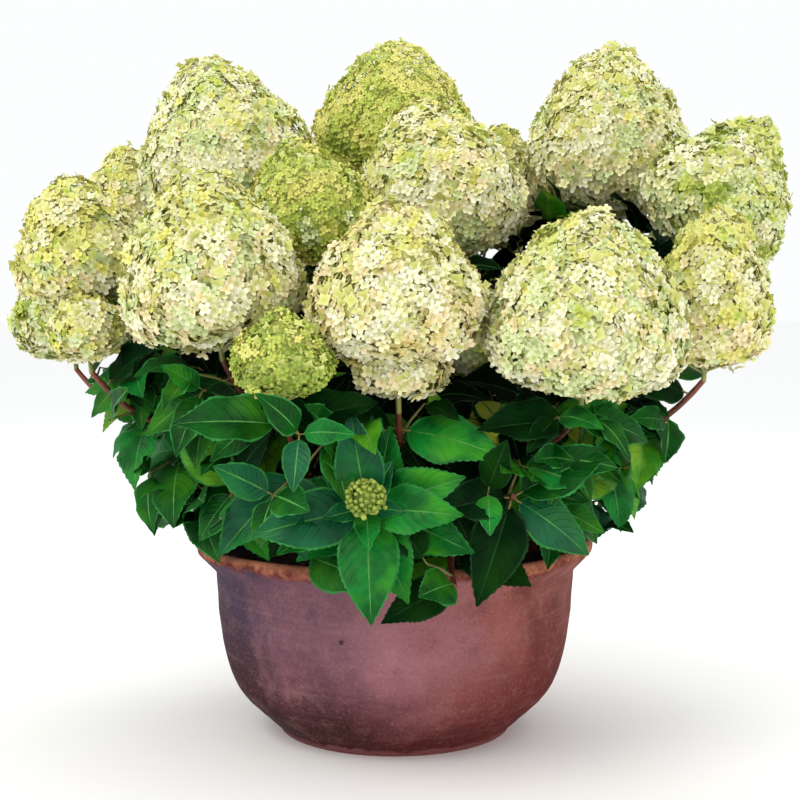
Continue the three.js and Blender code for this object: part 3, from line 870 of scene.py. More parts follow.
# The soil: a low mound with crumbs and chips of bark lying on it
SOIL_RINGS = {"sides": 72, "count": 17, "width": 10.5, "rough": 2.4, "top_from": 170}
SOIL_WAVE = {"reach": 192, "sunk": 2, "height": 1.6, "out": 0.11, "across": 0.05}
CRUMBS = {"count": 300, "reach": 186, "size": (1.2, 4.6), "chip": 2.2, "rare": 0.86, "turn": 6.28}


def soil_height(radius, angle):
    rise = SOIL["crown"] - SOIL["edge"] - SOIL_WAVE["sunk"]
    flat = SOIL["edge"] + rise * (1 - (radius / SOIL_WAVE["reach"]) ** 2)
    wave = SOIL_WAVE["height"] * math.sin(radius * SOIL_WAVE["out"] + 2 * angle)
    return flat + wave * math.sin(3 * angle + radius * SOIL_WAVE["across"])


def make_soil():
    radius = RIM["neck"] - WALL - 2
    side = [(radius - SOIL["taper"], SOIL["foot"]), (radius, SOIL["edge"])]
    soil = turned(side, SOIL_RINGS["sides"])
    for _ in range(SOIL_RINGS["count"]):
        bpy.ops.mesh.inset(thickness=SOIL_RINGS["width"] * MM)
    deselect()
    for i, vertex in enumerate(soil.data.vertices):
        x, y, z = (c / MM for c in vertex.co)
        out = math.hypot(x, y)
        if z > SOIL_RINGS["top_from"] and out < radius - 1:
            rough = SOIL_RINGS["rough"] * (wobble(i, 31) - 0.5)
            vertex.co.z = (soil_height(out, math.atan2(y, x)) + rough) * MM
    closed(soil)
    smooth(soil, 40)
    finish_piece(soil, "potting_soil", ["soil"], [soil_finish()])


def crumb_model(name, seed):
    bpy.ops.mesh.primitive_ico_sphere_add(subdivisions=1, radius=1, location=(0, 0, 0))
    crumb = bpy.context.object
    crumb.name = name
    for i, vertex in enumerate(crumb.data.vertices):
        grow = 0.75 + 0.5 * wobble(i, seed)
        vertex.co = (vertex.co.x * grow, vertex.co.y * grow * 0.8, vertex.co.z * grow * 0.6)
    return crumb


def make_crumbs():
    batch = Batch()
    models = [crumb_model("crumb_a", 3), crumb_model("crumb_b", 5)]
    for kind, model in enumerate(models):
        places, finishes = [], []
        for n in range(CRUMBS["count"]):
            radius = CRUMBS["reach"] * math.sqrt((n + 0.5) / CRUMBS["count"])
            angle = n * GOLDEN_ANGLE + kind * 1.1
            place = Vector((radius * math.cos(angle), radius * math.sin(angle), 0))
            place.z = soil_height(radius, angle) + 0.5
            size = lerp(*CRUMBS["size"], wobble(n, kind, 41) ** 2)
            spin = Quaternion(UP, CRUMBS["turn"] * wobble(n, kind, 42))
            is_chip = wobble(n, kind, 43) > CRUMBS["rare"]
            long = 1 + CRUMBS["chip"] * is_chip
            axes = [spin @ Vector((long, 0, 0)), spin @ Vector((0, 1, 0)), UP]
            places.append(matrix_of(*axes, place, size * MM))
            finishes.append([int(is_chip)])
        batch.add(model, places, finishes)
    crumbs = batch.piece("soil_crumbs")
    remove(models)
    chip = plain_finish("bark_chips", "4a3426", "7a5a42", 0.9)
    crumb = plain_finish("soil_crumbs", "241a14", "46362b", 0.95)
    finish_piece(crumbs, "soil_crumbs", ["soil"], [crumb, chip])


# Trunk and boughs under old bark. A bough swells where it leaves the trunk and is a little uneven
BOUGH_RINGS = {"count": 32, "swell": 2.5, "fade": 9, "uneven": 0.35, "beat": 1.9}


def relief(piece, name, size, depth):
    texture = bpy.data.textures.new(name, "CLOUDS")
    texture.noise_scale = size * MM
    texture.noise_depth = 3
    apply_modifier(piece, "DISPLACE", texture=texture, strength=depth * MM, mid_level=0.5)


def make_trunk():
    foot = SOIL["crown"] + GAP
    thick, tall = TRUNK["radius"], TRUNK["height"]
    profile = [(TRUNK["flare"], 0), (0.84 * TRUNK["flare"], 7), (thick + 5, 13), (thick + 2, 20)]
    profile += [(thick, 28), (thick - 1, 36), (0.86 * thick, 42)]
    profile += [(0.72 * thick, tall - 5), (0.3 * thick, tall - 1)]
    trunk = turned(profile, 40, foot)
    deselect()
    for vertex in trunk.data.vertices:
        x, y, z = vertex.co
        angle = math.atan2(y, x)
        lift = clamp((z / MM - foot) / tall, 0, 1)
        roots = 1 + (0.1 * math.sin(5 * angle + 0.7) - 0.06) * (1 - lift) ** 2
        roots += 0.02 * math.sin(13 * angle)
        vertex.co = (x * roots + TRUNK["lean"] * MM * lift, y * roots, z)
    closed(trunk)
    relief(trunk, "trunk_bark", 9, 1.6)
    return trunk


def make_wood(limbs):
    """The trunk and the boughs, joined into one piece"""
    trunk = make_trunk()
    lines = []
    for limb in limbs:
        line = []
        for n in range(BOUGH_RINGS["count"] + 1):
            share = n / BOUGH_RINGS["count"]
            radius = lerp(BOUGH["foot"], BOUGH["tip"], share)
            radius += BOUGH_RINGS["swell"] * math.exp(-BOUGH_RINGS["fade"] * share)
            radius += BOUGH_RINGS["uneven"] * math.sin(n * BOUGH_RINGS["beat"] + len(lines))
            line.append((limb["bough"].along(share), radius))
        line.append((limb["start"].lerp(limb["fork"], 0.5), BOUGH["tip"]))
        lines.append(line)
    boughs = tubes("boughs", lines, 12)
    relief(boughs, "bough_bark", 6, 1.1)
    joined(trunk, boughs)
    smooth(trunk, 60)
    nodes = ["trunk"] + ["bough_" + limb["name"] for limb in limbs]
    finish_piece(trunk, "trunk_and_boughs", nodes, [bark_finish()])


# Canes, with a swelling at each pair of leaves, and their finer twigs
JOINT = {"swell": 0.8, "width": 3.2, "most": 20}
CANE_RINGS = {"least": 14, "spacing": 9}


def cane_line(cane):
    """Points and radii along a cane, between its curve and its solid's straight stretches"""
    curve = cane["curve"]
    joints = [cane["bare"] + n * cane["spacing"] for n in range(JOINT["most"])]
    line = []
    count = max(CANE_RINGS["least"], int(curve.length / CANE_RINGS["spacing"]))
    for n in range(count + 1):
        share = n / count
        back = curve.length * (1 - share)
        swell = sum(math.exp(-(((back - joint) / JOINT["width"]) ** 2)) for joint in joints)
        radius = lerp(CANE["foot"], CANE["tip"], share) + JOINT["swell"] * min(1, swell)
        line.append((stretch_at(curve, share)[0].lerp(curve.along(share), 0.5), radius))
    return line


def make_tubes(name, lines, sides, nodes, finish):
    piece = tubes(name, lines, sides)
    smooth(piece)
    finish_piece(piece, name, nodes, [cane_finish(*finish)])


def make_canes(limbs, nodes):
    lines = [[(limb["start"], BOUGH["tip"]), (limb["fork"], CANE["foot"])] for limb in limbs]
    lines += [cane_line(cane) for limb in limbs for cane in limb["canes"]]
    make_tubes("canes", lines, 8, nodes, ("reddish_canes", "55261c", "8c4a33"))
    radii = (TWIG["radius"] * 1.25, TWIG["radius"], TWIG["radius"] * 0.8)
    lines = [list(zip(twig, radii)) for limb in limbs for twig in limb["twigs"]]
    make_tubes("side_twigs", lines, 6, nodes, ("green_twigs", "5f5a2c", "8a8a48"))


# One leaf, modelled in unit length: a toothed blade with a rib, on a short stalk
FULL_COLUMNS = (-1, -0.94, -0.5, -0.03, 0.03, 0.5, 0.94, 1)
SMALL_COLUMNS = (-1, -0.92, -0.05, 0.05, 0.92, 1)
BLADE_FROM = 0.09
BLADE = {"foot": 0.66, "point": 1.08, "tooth": 0.008, "slant": 0.012, "bulge": 1.1, "rib": 0.008}
RIPPLES = 15
LEAF_SHAPES = {
    "leaf_flat": {"broad": 0.265, "fold": 0.22, "arch": 0.05, "drop": 0.1, "ripple": 0.1},
    "leaf_arched": {"broad": 0.25, "fold": 0.36, "arch": 0.08, "drop": 0.17, "ripple": 0.16},
    "leaf_folded": {"broad": 0.24, "fold": 0.52, "arch": 0.03, "drop": 0.1, "ripple": 0.19},
}
# Each blade's two tones and the warm one of its patches, then its roughness and gloss
BLADES = {
    # The first two blades are painted shade: near black and dark green, for leaves inside the crown
    # and below the rim
    "inner_shade_blade": ("020d03", "031505", "081c05", 0.6, 0.03),
    "shaded_green_blade": ("021a07", "042c0a", "123c05", 0.54, 0.05),
    "green_blade": ("033a0b", "085814", "347a0e", 0.44, 0.13),
    # A glossy blade whose blue-green colour is a painted reflection of the sky, a sheen on the
    # leaves
    "sky_sheen_blade": ("034226", "096036", "187028", 0.4, 0.2),
    "fresh_green_blade": ("045018", "0b802a", "44a01c", 0.42, 0.16),
    "young_green_blade": ("2a7810", "5ca01c", "8ab830", 0.46, 0.2),
    "sunlit_blade": ("86a020", "bcc63c", "d0cc58", 0.5, 0.25),
}
# The deep rib and edge are darker copies of the pale ones, painted shade for the leaves in painted
# shade
RIBS = {"shaded_rib": ("123612", "1e4a1c"), "pale_rib": ("3a7c34", "5c9c4e")}
EDGES = {"shaded_edge": ("0a2c0c", "123c14"), "pale_edge": ("1e6c2a", "34863e")}


def blade_half_width(t, broad):
    """Round at the foot, widest a little over a third of the way up, and drawn out to a point"""
    widest = BLADE["foot"] / (BLADE["foot"] + BLADE["point"])
    swell = (t / widest) ** BLADE["foot"] * ((1 - t) / (1 - widest)) ** BLADE["point"]
    return max(0.006, broad * swell)


def leaf_model(name, columns, rows, teeth, broad, fold, arch, drop, ripple):
    bpy.ops.mesh.primitive_grid_add(
        x_subdivisions=len(columns) - 1, y_subdivisions=rows, size=2, location=(0, 0, 0)
    )
    leaf = bpy.context.object
    leaf.name = name
    mesh = leaf.data
    even = sorted({round(vertex.co.x, 4) for vertex in mesh.vertices})
    edit(leaf)
    bpy.ops.mesh.select_mode(type="EDGE")
    bpy.ops.mesh.select_all(action="DESELECT")
    bpy.ops.object.mode_set(mode="OBJECT")
    for edge in mesh.edges:
        edge.select = all(abs(mesh.vertices[i].co.x) > 0.999 for i in edge.vertices)
    bpy.ops.object.mode_set(mode="EDIT")
    bpy.ops.mesh.subdivide(number_cuts=2 * teeth - 1)
    bpy.ops.mesh.select_mode(type="VERT")
    deselect()
    rib, edge = even[len(even) // 2], even[-2]
    for face in mesh.polygons:
        across = abs(face.center.x)
        face.material_index = 1 if across < rib else 2 if across > edge else 0
    for vertex in mesh.vertices:
        t = (vertex.co.y + 1) / 2
        u = float(np.interp(vertex.co.x, even, columns))
        side = math.copysign(1, u)
        tooth = abs(u) > 0.999 and abs((t * rows * teeth) % 1 - 0.5) < 0.1
        half = blade_half_width(t, broad)
        x = u * half + side * BLADE["tooth"] * tooth * min(1, half / 0.08)
        y = lerp(BLADE_FROM, 1, t + BLADE["slant"] * tooth)
        wave = ripple * math.sin(t * RIPPLES + 2 * side) * abs(x)
        z = fold * abs(x) - BLADE["bulge"] * x * x
        z = z + arch * math.sin(math.pi * y) - drop * y * y + wave
        vertex.co = (x, y, z - BLADE["rib"] * (abs(u) < 0.05))
    return leaf


def stalk_model(arch, drop):
    bpy.ops.mesh.primitive_cylinder_add(
        vertices=5, radius=0.013, depth=BLADE_FROM + 0.04, end_fill_type="NGON",
        location=(0, (BLADE_FROM + 0.02) / 2, 0), rotation=(math.pi / 2, 0, 0),
    )
    stalk = bpy.context.object
    bpy.ops.object.transform_apply(location=True, rotation=True, scale=True)
    for vertex in stalk.data.vertices:
        y = vertex.co.y
        vertex.co.z += arch * math.sin(math.pi * max(0, y)) - drop * y * y - 0.006
    return stalk


def leaf_finish_of(leaf):
    """Which blade, rib and edge a leaf has, by its place on the plant and a repeatable chance;
    leaves deep in the crown or below the rim take blades painted in shade
    """
    tip = tip_of(leaf)
    chance = leaf["tone"]
    outside = crown_share(tip) + 0.12 * (chance - 0.5)
    if chance > 0.96 and leaf.get("small"):
        blade = "sunlit_blade"
    elif leaf.get("rosette"):
        blade = "sky_sheen_blade" if chance < 0.25 else "fresh_green_blade"
    elif chance > 0.9:
        blade = "young_green_blade"
    # Painted shade: the leaves inside the crown, and those further in or below the rim, take darker
    # blades
    elif outside < 0.6:
        blade = "inner_shade_blade"
    elif outside < 0.8 or tip.z < RIM["height"]:
        blade = "shaded_green_blade"
    elif chance < 0.16:
        blade = "sky_sheen_blade"
    else:
        blade = "green_blade" if chance < 0.7 else "fresh_green_blade"
    # Leaves in painted shade take the darker rib and edge, as painted shade
    pale = blade not in ("inner_shade_blade", "shaded_green_blade")
    return [list(BLADES).index(blade), len(BLADES) + pale, len(BLADES) + len(RIBS) + pale]


def leaf_matrix(leaf):
    size = leaf["length"] * MM
    return matrix_of(leaf["side"], leaf["along"], leaf["lift"], leaf["root"], size)


def make_leaves(limbs, nodes):
    leaves = [leaf for limb in limbs for leaf in limb["leaves"]]
    batch = Batch()
    models = []
    for kind, (name, shape) in enumerate(LEAF_SHAPES.items()):
        full = leaf_model(name, FULL_COLUMNS, 8, 2, **shape)
        small = leaf_model("small_" + name, SMALL_COLUMNS, 6, 1, **shape)
        models += [full, small]
        alike = [leaf for leaf in leaves if int(leaf["tone"] * 997) % 3 == kind]
        for model, is_small in ((full, False), (small, True)):
            chosen = [leaf for leaf in alike if leaf.get("small", False) == is_small]
            finishes = [leaf_finish_of(leaf) for leaf in chosen]
            batch.add(model, [leaf_matrix(leaf) for leaf in chosen], finishes)
    finishes = [blade_finish(name, *tones) for name, tones in BLADES.items()]
    for name, tones in {**RIBS, **EDGES}.items():
        finishes.append(plain_finish(name, *tones, 0.5, gloss=0.12))
    finish_piece(batch.piece("leaves"), "leaves", nodes, finishes)
    stalks = Batch()
    stalk = stalk_model(0.05, 0.1)
    stalks.add(stalk, [leaf_matrix(leaf) for leaf in leaves], [[0]] * len(leaves))
    finish = cane_finish("leaf_stalks", "5a6b30", "94783f")
    finish_piece(stalks.piece("leaf_stalks"), "leaf_stalks", nodes, [finish])
    remove([stalk, *models])


# Florets, modelled in unit radius
def map_by_reach(model):
    """Gives each corner its distance from the floret's middle, for the sepals' colour to follow"""
    uv = model.data.uv_layers[0].data
    for loop in model.data.loops:
        place = model.data.vertices[loop.vertex_index].co
        uv[loop.index].uv = (math.hypot(place.x, place.y), place.z)


def floret_model(name, cup, spread):
    """Four rounded sepals about a small green boss"""
    bpy.ops.mesh.primitive_circle_add(vertices=5, radius=1, fill_type="TRIFAN", location=(0, 0, 0))
    floret = bpy.context.object
    floret.name = name
    for vertex in floret.data.vertices:
        x, y = -vertex.co.x, -vertex.co.y
        reach = 0.56 + 0.52 * y
        hollow = -0.06 if abs(x) + abs(y) < 0.01 else 0
        wide = x * spread * (0.82 + 0.3 * reach)
        vertex.co = (wide, reach, cup * reach**2 + hollow + 0.05 * x)
    edit(floret)
    bpy.ops.mesh.spin(
        steps=3, dupli=True, angle=1.5 * math.pi, center=(0, 0, 0), axis=(0, 0, 1)
    )
    deselect()
    for vertex in floret.data.vertices:
        vertex.co.z += 0.05 if abs(vertex.co.x) > abs(vertex.co.y) else 0
    bpy.ops.mesh.primitive_cone_add(
        vertices=4, radius1=0.15, radius2=0, depth=0.16, end_fill_type="NOTHING",
        location=(0, 0, 0.12),
    )
    boss = bpy.context.object
    bpy.ops.object.transform_apply(location=True, rotation=True, scale=True)
    for face in boss.data.polygons:
        face.material_index = 1
    joined(floret, boss)
    map_by_reach(floret)
    return floret


def star_model(name):
    """A plain four-lobed floret for the layer underneath"""
    bpy.ops.mesh.primitive_circle_add(vertices=8, radius=1, fill_type="TRIFAN", location=(0, 0, 0))
    star = bpy.context.object
    star.name = name
    for vertex in star.data.vertices:
        distance = vertex.co.length
        notch = round(math.degrees(math.atan2(vertex.co.y, vertex.co.x))) % 90 == 45
        vertex.co *= 0.62 if notch else 1
        vertex.co.z = 0.16 * distance if not notch else 0.02
    map_by_reach(star)
    return star


def bud_model(name):
    """A closed floret bud"""
    bpy.ops.mesh.primitive_uv_sphere_add(segments=5, ring_count=3, radius=1, location=(0, 0, 0))
    bud = bpy.context.object
    bud.name = name
    for vertex in bud.data.vertices:
        vertex.co.z = vertex.co.z * 1.1 + 0.6
    map_by_reach(bud)
    return bud


HEAD_POWER = math.log(0.5) / math.log(HEAD["widest"])


def core_model(name):
    """The dense middle of a head, in unit radius and height"""
    rings = []
    for share in np.linspace(0.01, 0.99, 10):
        rings.append((math.sin(math.pi * share**HEAD_POWER) ** HEAD["fullness"], share))
    core = turned(rings, 18, unit=1)
    core.name = name
    closed(core)
    return core


# Each colour at the middle of a floret and at its sepals' edges
SEPALS = {
    "sepal_white": ("d8dc9e", "f4f1d8"),
    "sepal_cream": ("d0d280", "eee8ba"),
    "sepal_blush": ("ddd08a", "f1e2bc"),
    "sepal_gold": ("d4c876", "ead898"),
    "sepal_yellow": ("cbca58", "e6e084"),
    "sepal_mint": ("becd7c", "dde5b6"),
    "sepal_lime": ("a8bc40", "cad466"),
    "sepal_green": ("7c9430", "a4b648"),
    # The next two are painted shade: the lighter for the layer under the florets, the darker for the
    # heads' cores and patches of that layer
    "sepal_shade": ("c4c864", "dadb8c"),
    "sepal_deep_shade": ("b0b654", "cacb74"),
    "floret_boss": ("a3b254", "c2c876"),
    "closed_bud": ("5a7226", "8ca03c"),
}
SEPAL_NAMES = list(SEPALS)
# The sepals of a head's lower and upper part, with their shares
PALETTES = {
    "cream": (
        {"white": 6, "cream": 6, "blush": 3, "mint": 4},
        {"white": 2, "cream": 6, "yellow": 4, "mint": 4, "lime": 1},
    ),
    "blush": (
        {"white": 4, "blush": 6, "cream": 5, "gold": 2},
        {"white": 3, "cream": 7, "yellow": 3, "blush": 2},
    ),
    "yellow": (
        {"white": 2, "cream": 6, "blush": 3, "yellow": 3, "mint": 2},
        {"cream": 4, "yellow": 7, "lime": 3, "mint": 1},
    ),
    "mint": (
        {"white": 4, "cream": 3, "mint": 7, "lime": 2, "green": 1},
        {"white": 1, "mint": 6, "lime": 5, "cream": 2, "green": 2},
    ),
    "lime": (
        {"yellow": 3, "lime": 8, "green": 5, "mint": 2},
        {"yellow": 7, "lime": 7, "green": 2},
    ),
    "pale": (
        {"white": 8, "cream": 3, "blush": 2, "mint": 6},
        {"white": 5, "cream": 4, "yellow": 2, "mint": 6, "lime": 1},
    ),
    # The sunny palette is the lime one made lighter and yellower, painted light for a head lit from
    # above
    "sunny": (
        {"yellow": 6, "lime": 7, "green": 2},
        {"yellow": 11, "lime": 5, "cream": 1},
    ),
    "fresh": (
        {"yellow": 1, "lime": 3, "green": 9},
        {"yellow": 2, "lime": 3, "green": 8},
    ),
}
# Sizes of the florets, how they vary, and the layer under them; "fine" and "bud" are shares
FLORET = {"radius": 6.3, "spacing": 8.1, "fine": 0.72, "bud": 0.52, "tilt": 0.31}
VARIED = {"proud": 4, "rare": 0.95, "uneven": 1.5, "foot": 1.12, "top": 0.84, "size": (0.8, 1.15)}
UNDER = {"in": 5, "down": 6, "lift": 5, "depth": 1, "size": 1.3, "spacing": 1.35, "tilt": 0.45}
CORE = {"wide": 0.8, "tall": 0.84, "lift": 0.07}
PATCH = {"colour": 30, "upper": 40, "under": 22, "chance": 0.32}
LUMPS = {"size": 30, "height": 9}
HIGH_HEADS = 500


def dome_spots(radius, height, fullness, spacing):
    """Even spots on a head's dome: distance out, height, angle, and which way the surface faces"""
    shares = np.linspace(0, 1, 240) ** 1.3
    widths = radius * np.clip(np.sin(np.pi * shares**HEAD_POWER), 0, None) ** fullness
    heights = height * shares
    outward, upward = np.diff(widths), np.diff(heights)
    slant = np.hypot(outward, upward)
    areas = np.concatenate([[0], np.cumsum(np.pi * (widths[1:] + widths[:-1]) * slant)])
    count = int(areas[-1] / spacing**2)
    marks = (np.arange(count) + 0.5) / count * areas[-1]
    middles = (areas[1:] + areas[:-1]) / 2
    facing_out = np.interp(marks, middles, upward / slant)
    facing_up = -np.interp(marks, middles, outward / slant)
    out, up = np.interp(marks, areas, widths), np.interp(marks, areas, heights)
    return out, up, np.arange(count) * GOLDEN_ANGLE, facing_out, facing_up


def shares_of(palette):
    names = list(palette)
    weights = np.array([palette[name] for name in names], float)
    sepals = [SEPAL_NAMES.index("sepal_" + name) for name in names]
    return sepals, np.cumsum(weights / weights.sum())


def patchy(points, seed, size):
    """A value from 0 to 1 for each point, evenly used, alike among neighbours"""
    values = []
    for i, point in enumerate(points):
        patch = noise.noise(Vector(point) / size + Vector((seed, 0, 0)))
        values.append(patch + PATCH["chance"] * wobble(i, seed))
    return np.argsort(np.argsort(values)) / max(1, len(values))


def floret_matrices(spots, turn, base, seed, lumpiness, depth, size, tilt):
    """Florets standing on the dome, each turned and tilted by chance"""
    out, up, turns, facing_out, facing_up = spots
    rng = np.random.default_rng(seed)
    count = len(out)
    points = np.stack([out * np.cos(turns), out * np.sin(turns), up], 1)
    normals = np.stack([facing_out * np.cos(turns), facing_out * np.sin(turns), facing_up], 1)
    shift = Vector((lumpiness, 3, 0))
    lumps = np.array([noise.noise(Vector(p) / LUMPS["size"] + shift) for p in points])
    proud = VARIED["proud"] * (rng.random(count) > VARIED["rare"])
    proud = proud + rng.uniform(-VARIED["uneven"], VARIED["uneven"], count)
    points = points + normals * (depth + LUMPS["height"] * lumps + proud)[:, None]
    leaning = normals + rng.normal(0, tilt, (count, 3))
    leaning /= np.linalg.norm(leaning, axis=1)[:, None]
    aside = np.cross(leaning, rng.normal(0, 1, (count, 3)))
    aside /= np.linalg.norm(aside, axis=1)[:, None]
    grown = lerp(VARIED["foot"], VARIED["top"], up / up.max())
    sizes = (size * grown * rng.uniform(*VARIED["size"], count))[:, None] * MM
    turn = np.array(turn.to_matrix())
    matrices = np.zeros((count, 4, 4))
    matrices[:, :3, 0] = (aside @ turn.T) * sizes
    matrices[:, :3, 1] = (np.cross(leaning, aside) @ turn.T) * sizes
    matrices[:, :3, 2] = (leaning @ turn.T) * sizes
    matrices[:, :3, 3] = (points @ turn.T + np.array(base)) * MM
    matrices[:, 3, 3] = 1
    return matrices, points


def floret_finishes(plan, points, height, seed):
    """Each floret's sepals and boss, in patches, from the palettes of the head's two parts"""
    low, high = (shares_of(part) for part in PALETTES[plan.get("palette", plan["tint"])])
    chances = patchy(points, seed, PATCH["colour"])
    rise = 0.7 * points[:, 2] / height
    upper = patchy(points, seed + 9, PATCH["upper"]) * 0.6 + rise > 0.75
    colours = []
    for chance, is_upper in zip(chances, upper):
        sepals, bounds = high if is_upper else low
        colours.append(sepals[min(len(sepals) - 1, int(np.searchsorted(bounds, chance)))])
    return np.stack([colours, np.full(len(colours), SEPAL_NAMES.index("floret_boss"))], 1)


def dress_dome(batch, models, plan, base, radius, height, seed):
    """One dome of a head: a dense core painted in deep shade, an inner layer painted in shade, and
    the florets that show
    """
    is_bud = plan.get("bud", False)
    axis = head_axis(plan)
    turn = UP.rotation_difference(axis)
    fine = FLORET["bud"] if is_bud else FLORET["fine"] if plan.get("fine") else 1.0
    fullness = plan.get("fullness", HEAD["fullness"])
    size = FLORET["radius"] * fine
    closed_bud, deep_shade, shade = map(SEPAL_NAMES.index, ("closed_bud", "sepal_deep_shade", "sepal_shade"))
    wide, tall = radius * CORE["wide"], height * CORE["tall"]
    columns = [turn @ Vector(side) for side in ((wide, 0, 0), (0, wide, 0), (0, 0, tall))]
    core = matrix_of(*columns, base + axis * height * CORE["lift"], MM)
    batch.add(models["core"], [core], [[closed_bud if is_bud else deep_shade]])
    if not is_bud:
        spacing = FLORET["spacing"] * UNDER["spacing"]
        spots = dome_spots(radius - UNDER["in"], height - UNDER["down"], fullness, spacing)
        foot = base + axis * UNDER["lift"]
        matrices, points = floret_matrices(
            spots, turn, foot, seed + 1, seed, UNDER["depth"], size * UNDER["size"], UNDER["tilt"]
        )
        # The layer under the florets is painted shade, with patches of deeper painted shade
        in_deep_shade = patchy(points, seed + 5, PATCH["under"]) < 0.3
        batch.add(models["star"], matrices, np.where(in_deep_shade, deep_shade, shade)[:, None])
    spots = dome_spots(radius - 1, height - 1, fullness, FLORET["spacing"] * fine)
    matrices, points = floret_matrices(spots, turn, base, seed, seed, 0, size, FLORET["tilt"])
    finishes = floret_finishes(plan, points, height, seed)
    kinds = (np.arange(len(points)) * 7) % 3
    buds = (kinds == 2) & (fine < 1) | is_bud
    for kind, model in enumerate(("open", "cupped", "cupped")):
        chosen = (kinds == kind) & ~buds
        batch.add(models[model], matrices[chosen], finishes[chosen])
    small = matrices[buds]
    small[:, :3, :3] *= 0.85 if is_bud else 0.5
    young = finishes[buds][:, :1]
    if is_bud:
        young[np.array([wobble(n, seed) for n in range(len(young))]) < 0.6] = closed_bud
    batch.add(models["bud"], small, young)


def make_heads(limbs):
    """The florets of all heads, by tint and level, and the plans of the heads"""
    plans = [cane["head"] for limb in limbs for cane in limb["canes"] if "head" in cane]
    models = {
        "open": floret_model("floret_open", 0.08, 0.5),
        "cupped": floret_model("floret_cupped", 0.24, 0.47),
        "star": star_model("floret_star"),
        "bud": bud_model("floret_bud"),
        "core": core_model("head_core"),
    }
    finishes = [sepal_finish(name, *tones) for name, tones in SEPALS.items()]
    batches = {}
    for number, plan in enumerate(plans):
        level = "high" if plan["foot"][2] > HIGH_HEADS else "low"
        batch, nodes = batches.setdefault((plan["tint"], level), (Batch(), []))
        nodes.append(head_node(plan))
        base = Vector(plan["foot"])
        height = (Vector(plan["apex"]) - base).length
        dress_dome(batch, models, plan, base, plan["radius"], height, 100 + 10 * number)
        if "tier" in plan:
            tier = plan["tier"]
            low = base - head_axis(plan) * tier["drop"]
            radius, height = tier["radius"], tier["height"]
            dress_dome(batch, models, plan, low, radius, height, 105 + 10 * number)
    for (tint, level), (batch, nodes) in batches.items():
        name = f"florets_{tint}_{level}"
        finish_piece(batch.piece(name), name, nodes, finishes)
    remove(models.values())
    return plans


BRANCHLETS = {"count": 9, "bud_count": 3, "sink": 1.5, "core": 20, "rise": 0.18, "reach": 0.6}
BRANCHLET_RADII = {"stalk": (2.6, 2.2), "branch": (1.5, 1.2, 0.9)}


def make_branchlets(plans):
    """The thin branches of each head, seen from below between its florets"""
    lines = []
    for number, plan in enumerate(plans):
        is_bud = plan.get("bud", False)
        axis = head_axis(plan)
        foot = Vector(plan["foot"])
        turn = UP.rotation_difference(axis)
        low, high = BRANCHLET_RADII["stalk"]
        sunk = stalk_of(plan) + GAP + CANE["tip"] + BRANCHLETS["sink"]
        top = foot + axis * BRANCHLETS["core"]
        lines.append([(foot - axis * sunk, CANE["tip"]), (foot, low), (top, high)])
        for n in range(BRANCHLETS["bud_count" if is_bud else "count"]):
            angle = n * 2 * math.pi / BRANCHLETS["count"] + number
            out = turn @ Vector((math.cos(angle), math.sin(angle), 0))
            below = 6 if is_bud else HEAD["stalk"] * (0.2 + 0.6 * wobble(n, number))
            start = foot - axis * below
            end = foot + axis * plan["radius"] * BRANCHLETS["rise"]
            end = end + out * plan["radius"] * BRANCHLETS["reach"]
            middle = start.lerp(end, 0.5) - axis * 2 + out * 3
            lines.append(list(zip((start, middle, end), BRANCHLET_RADII["branch"])))
    nodes = [head_node(plan) for plan in plans]
    finish = ("branchlet_green", "6a7a3a", "9a9a52")
    make_tubes("head_branchlets", lines, 6, nodes, finish)


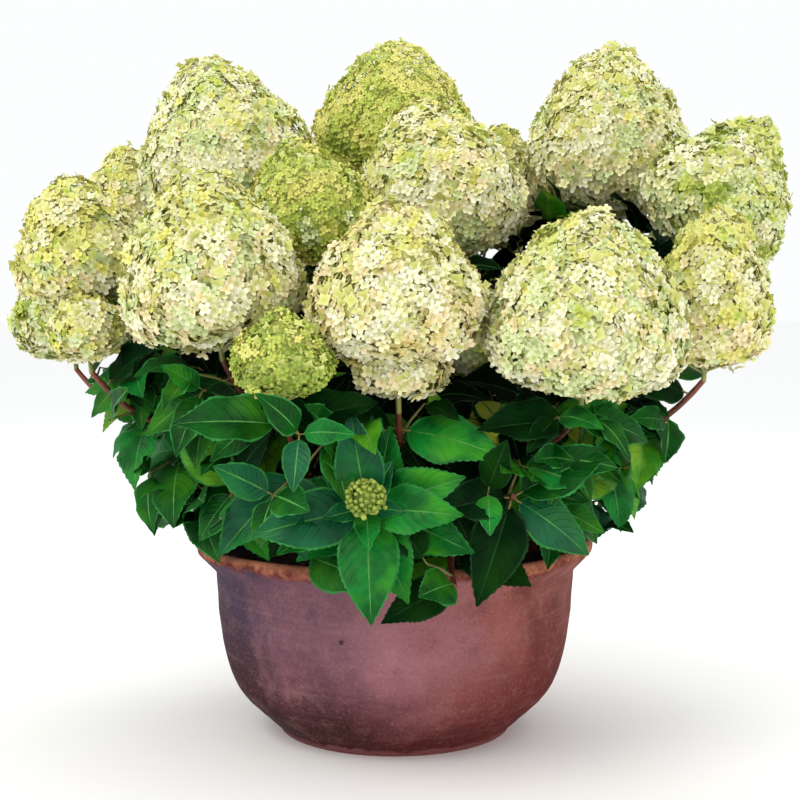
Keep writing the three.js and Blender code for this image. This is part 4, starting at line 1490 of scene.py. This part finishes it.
# Growing the plant
def dress_plant():
    limbs = grow_limbs()
    for m, limb in enumerate(limbs):
        corners = corners_of("foliage_" + limb["name"])
        limb["leaves"], limb["twigs"] = [], []
        for c, cane in enumerate(limb["canes"]):
            seed = SEED + 10 * m + c
            leaves = leaves_on(cane, seed, corners)
            if cane.get("head", {}).get("bud"):
                leaves += young_whorl(cane, seed)
                leaves = [{**leaf, "rosette": True} for leaf in leaves]
            else:
                twigs, small = twigs_on(cane, seed)
                limb["twigs"] += twigs
                leaves += small
            limb["leaves"] += leaves
    masses = ["foliage_" + limb["name"] for limb in limbs]
    make_wood(limbs)
    make_canes(limbs, masses)
    make_leaves(limbs, masses)
    make_branchlets(make_heads(limbs))


# The stage: a pale floor, soft light, and a camera where the photographer stood
WORLD = {"colour": (0.98, 0.99, 1.0, 1), "strength": 1.0}
# Each lamp's place, what it is aimed at, its size, power and tint
LAMPS = {
    "key": ((-1.5, -1.7, 2.3), (0, 0, 0.45), 1.7, 36, (1.0, 0.95, 0.86)),
    "fill": ((1.9, -1.5, 0.9), (0, 0, 0.4), 1.4, 8, (1.0, 0.93, 0.85)),
    "top": ((0.4, 1.2, 2.2), (0, 0, 0.5), 1.2, 14, (1.0, 1.0, 0.97)),
}
CAMERA = {"place": (0.0061, -1.8, 0.5237), "pitch": 0.0809, "focal": 1570.9 / 800, "sensor": 36}


def make_stage():
    bpy.ops.mesh.primitive_plane_add(size=30, location=(0, 0, 0))
    floor = bpy.context.object
    floor.name = "floor"
    pale = Finish("pale_floor", 0.9)
    pale.colour((0.96, 0.96, 0.955, 1))
    floor.data.materials.append(pale.material)
    world = bpy.data.worlds.new("studio")
    bpy.context.scene.world = world
    world.use_nodes = True
    background = world.node_tree.nodes["Background"]
    background.inputs["Color"].default_value = WORLD["colour"]
    background.inputs["Strength"].default_value = WORLD["strength"]
    for name, (place, aim, size, power, tint) in LAMPS.items():
        bpy.ops.object.light_add(type="AREA", location=place)
        lamp = bpy.context.object
        lamp.name = name
        lamp.data.size = size
        lamp.data.energy = power
        lamp.data.color = tint
        way = Vector(aim) - Vector(place)
        lamp.rotation_euler = way.to_track_quat("-Z", "Y").to_euler()
    bpy.context.scene.view_settings.view_transform = "Standard"


def make_camera():
    tilt = math.pi / 2 - CAMERA["pitch"]
    bpy.ops.object.camera_add(location=CAMERA["place"], rotation=(tilt, 0, 0))
    camera = bpy.context.object
    camera.data.sensor_width = CAMERA["sensor"]
    camera.data.lens = CAMERA["focal"] * CAMERA["sensor"]
    bpy.context.scene.camera = camera


make_bowl()
make_soil()
make_crumbs()
dress_plant()
make_stage()
make_camera()
deselect()
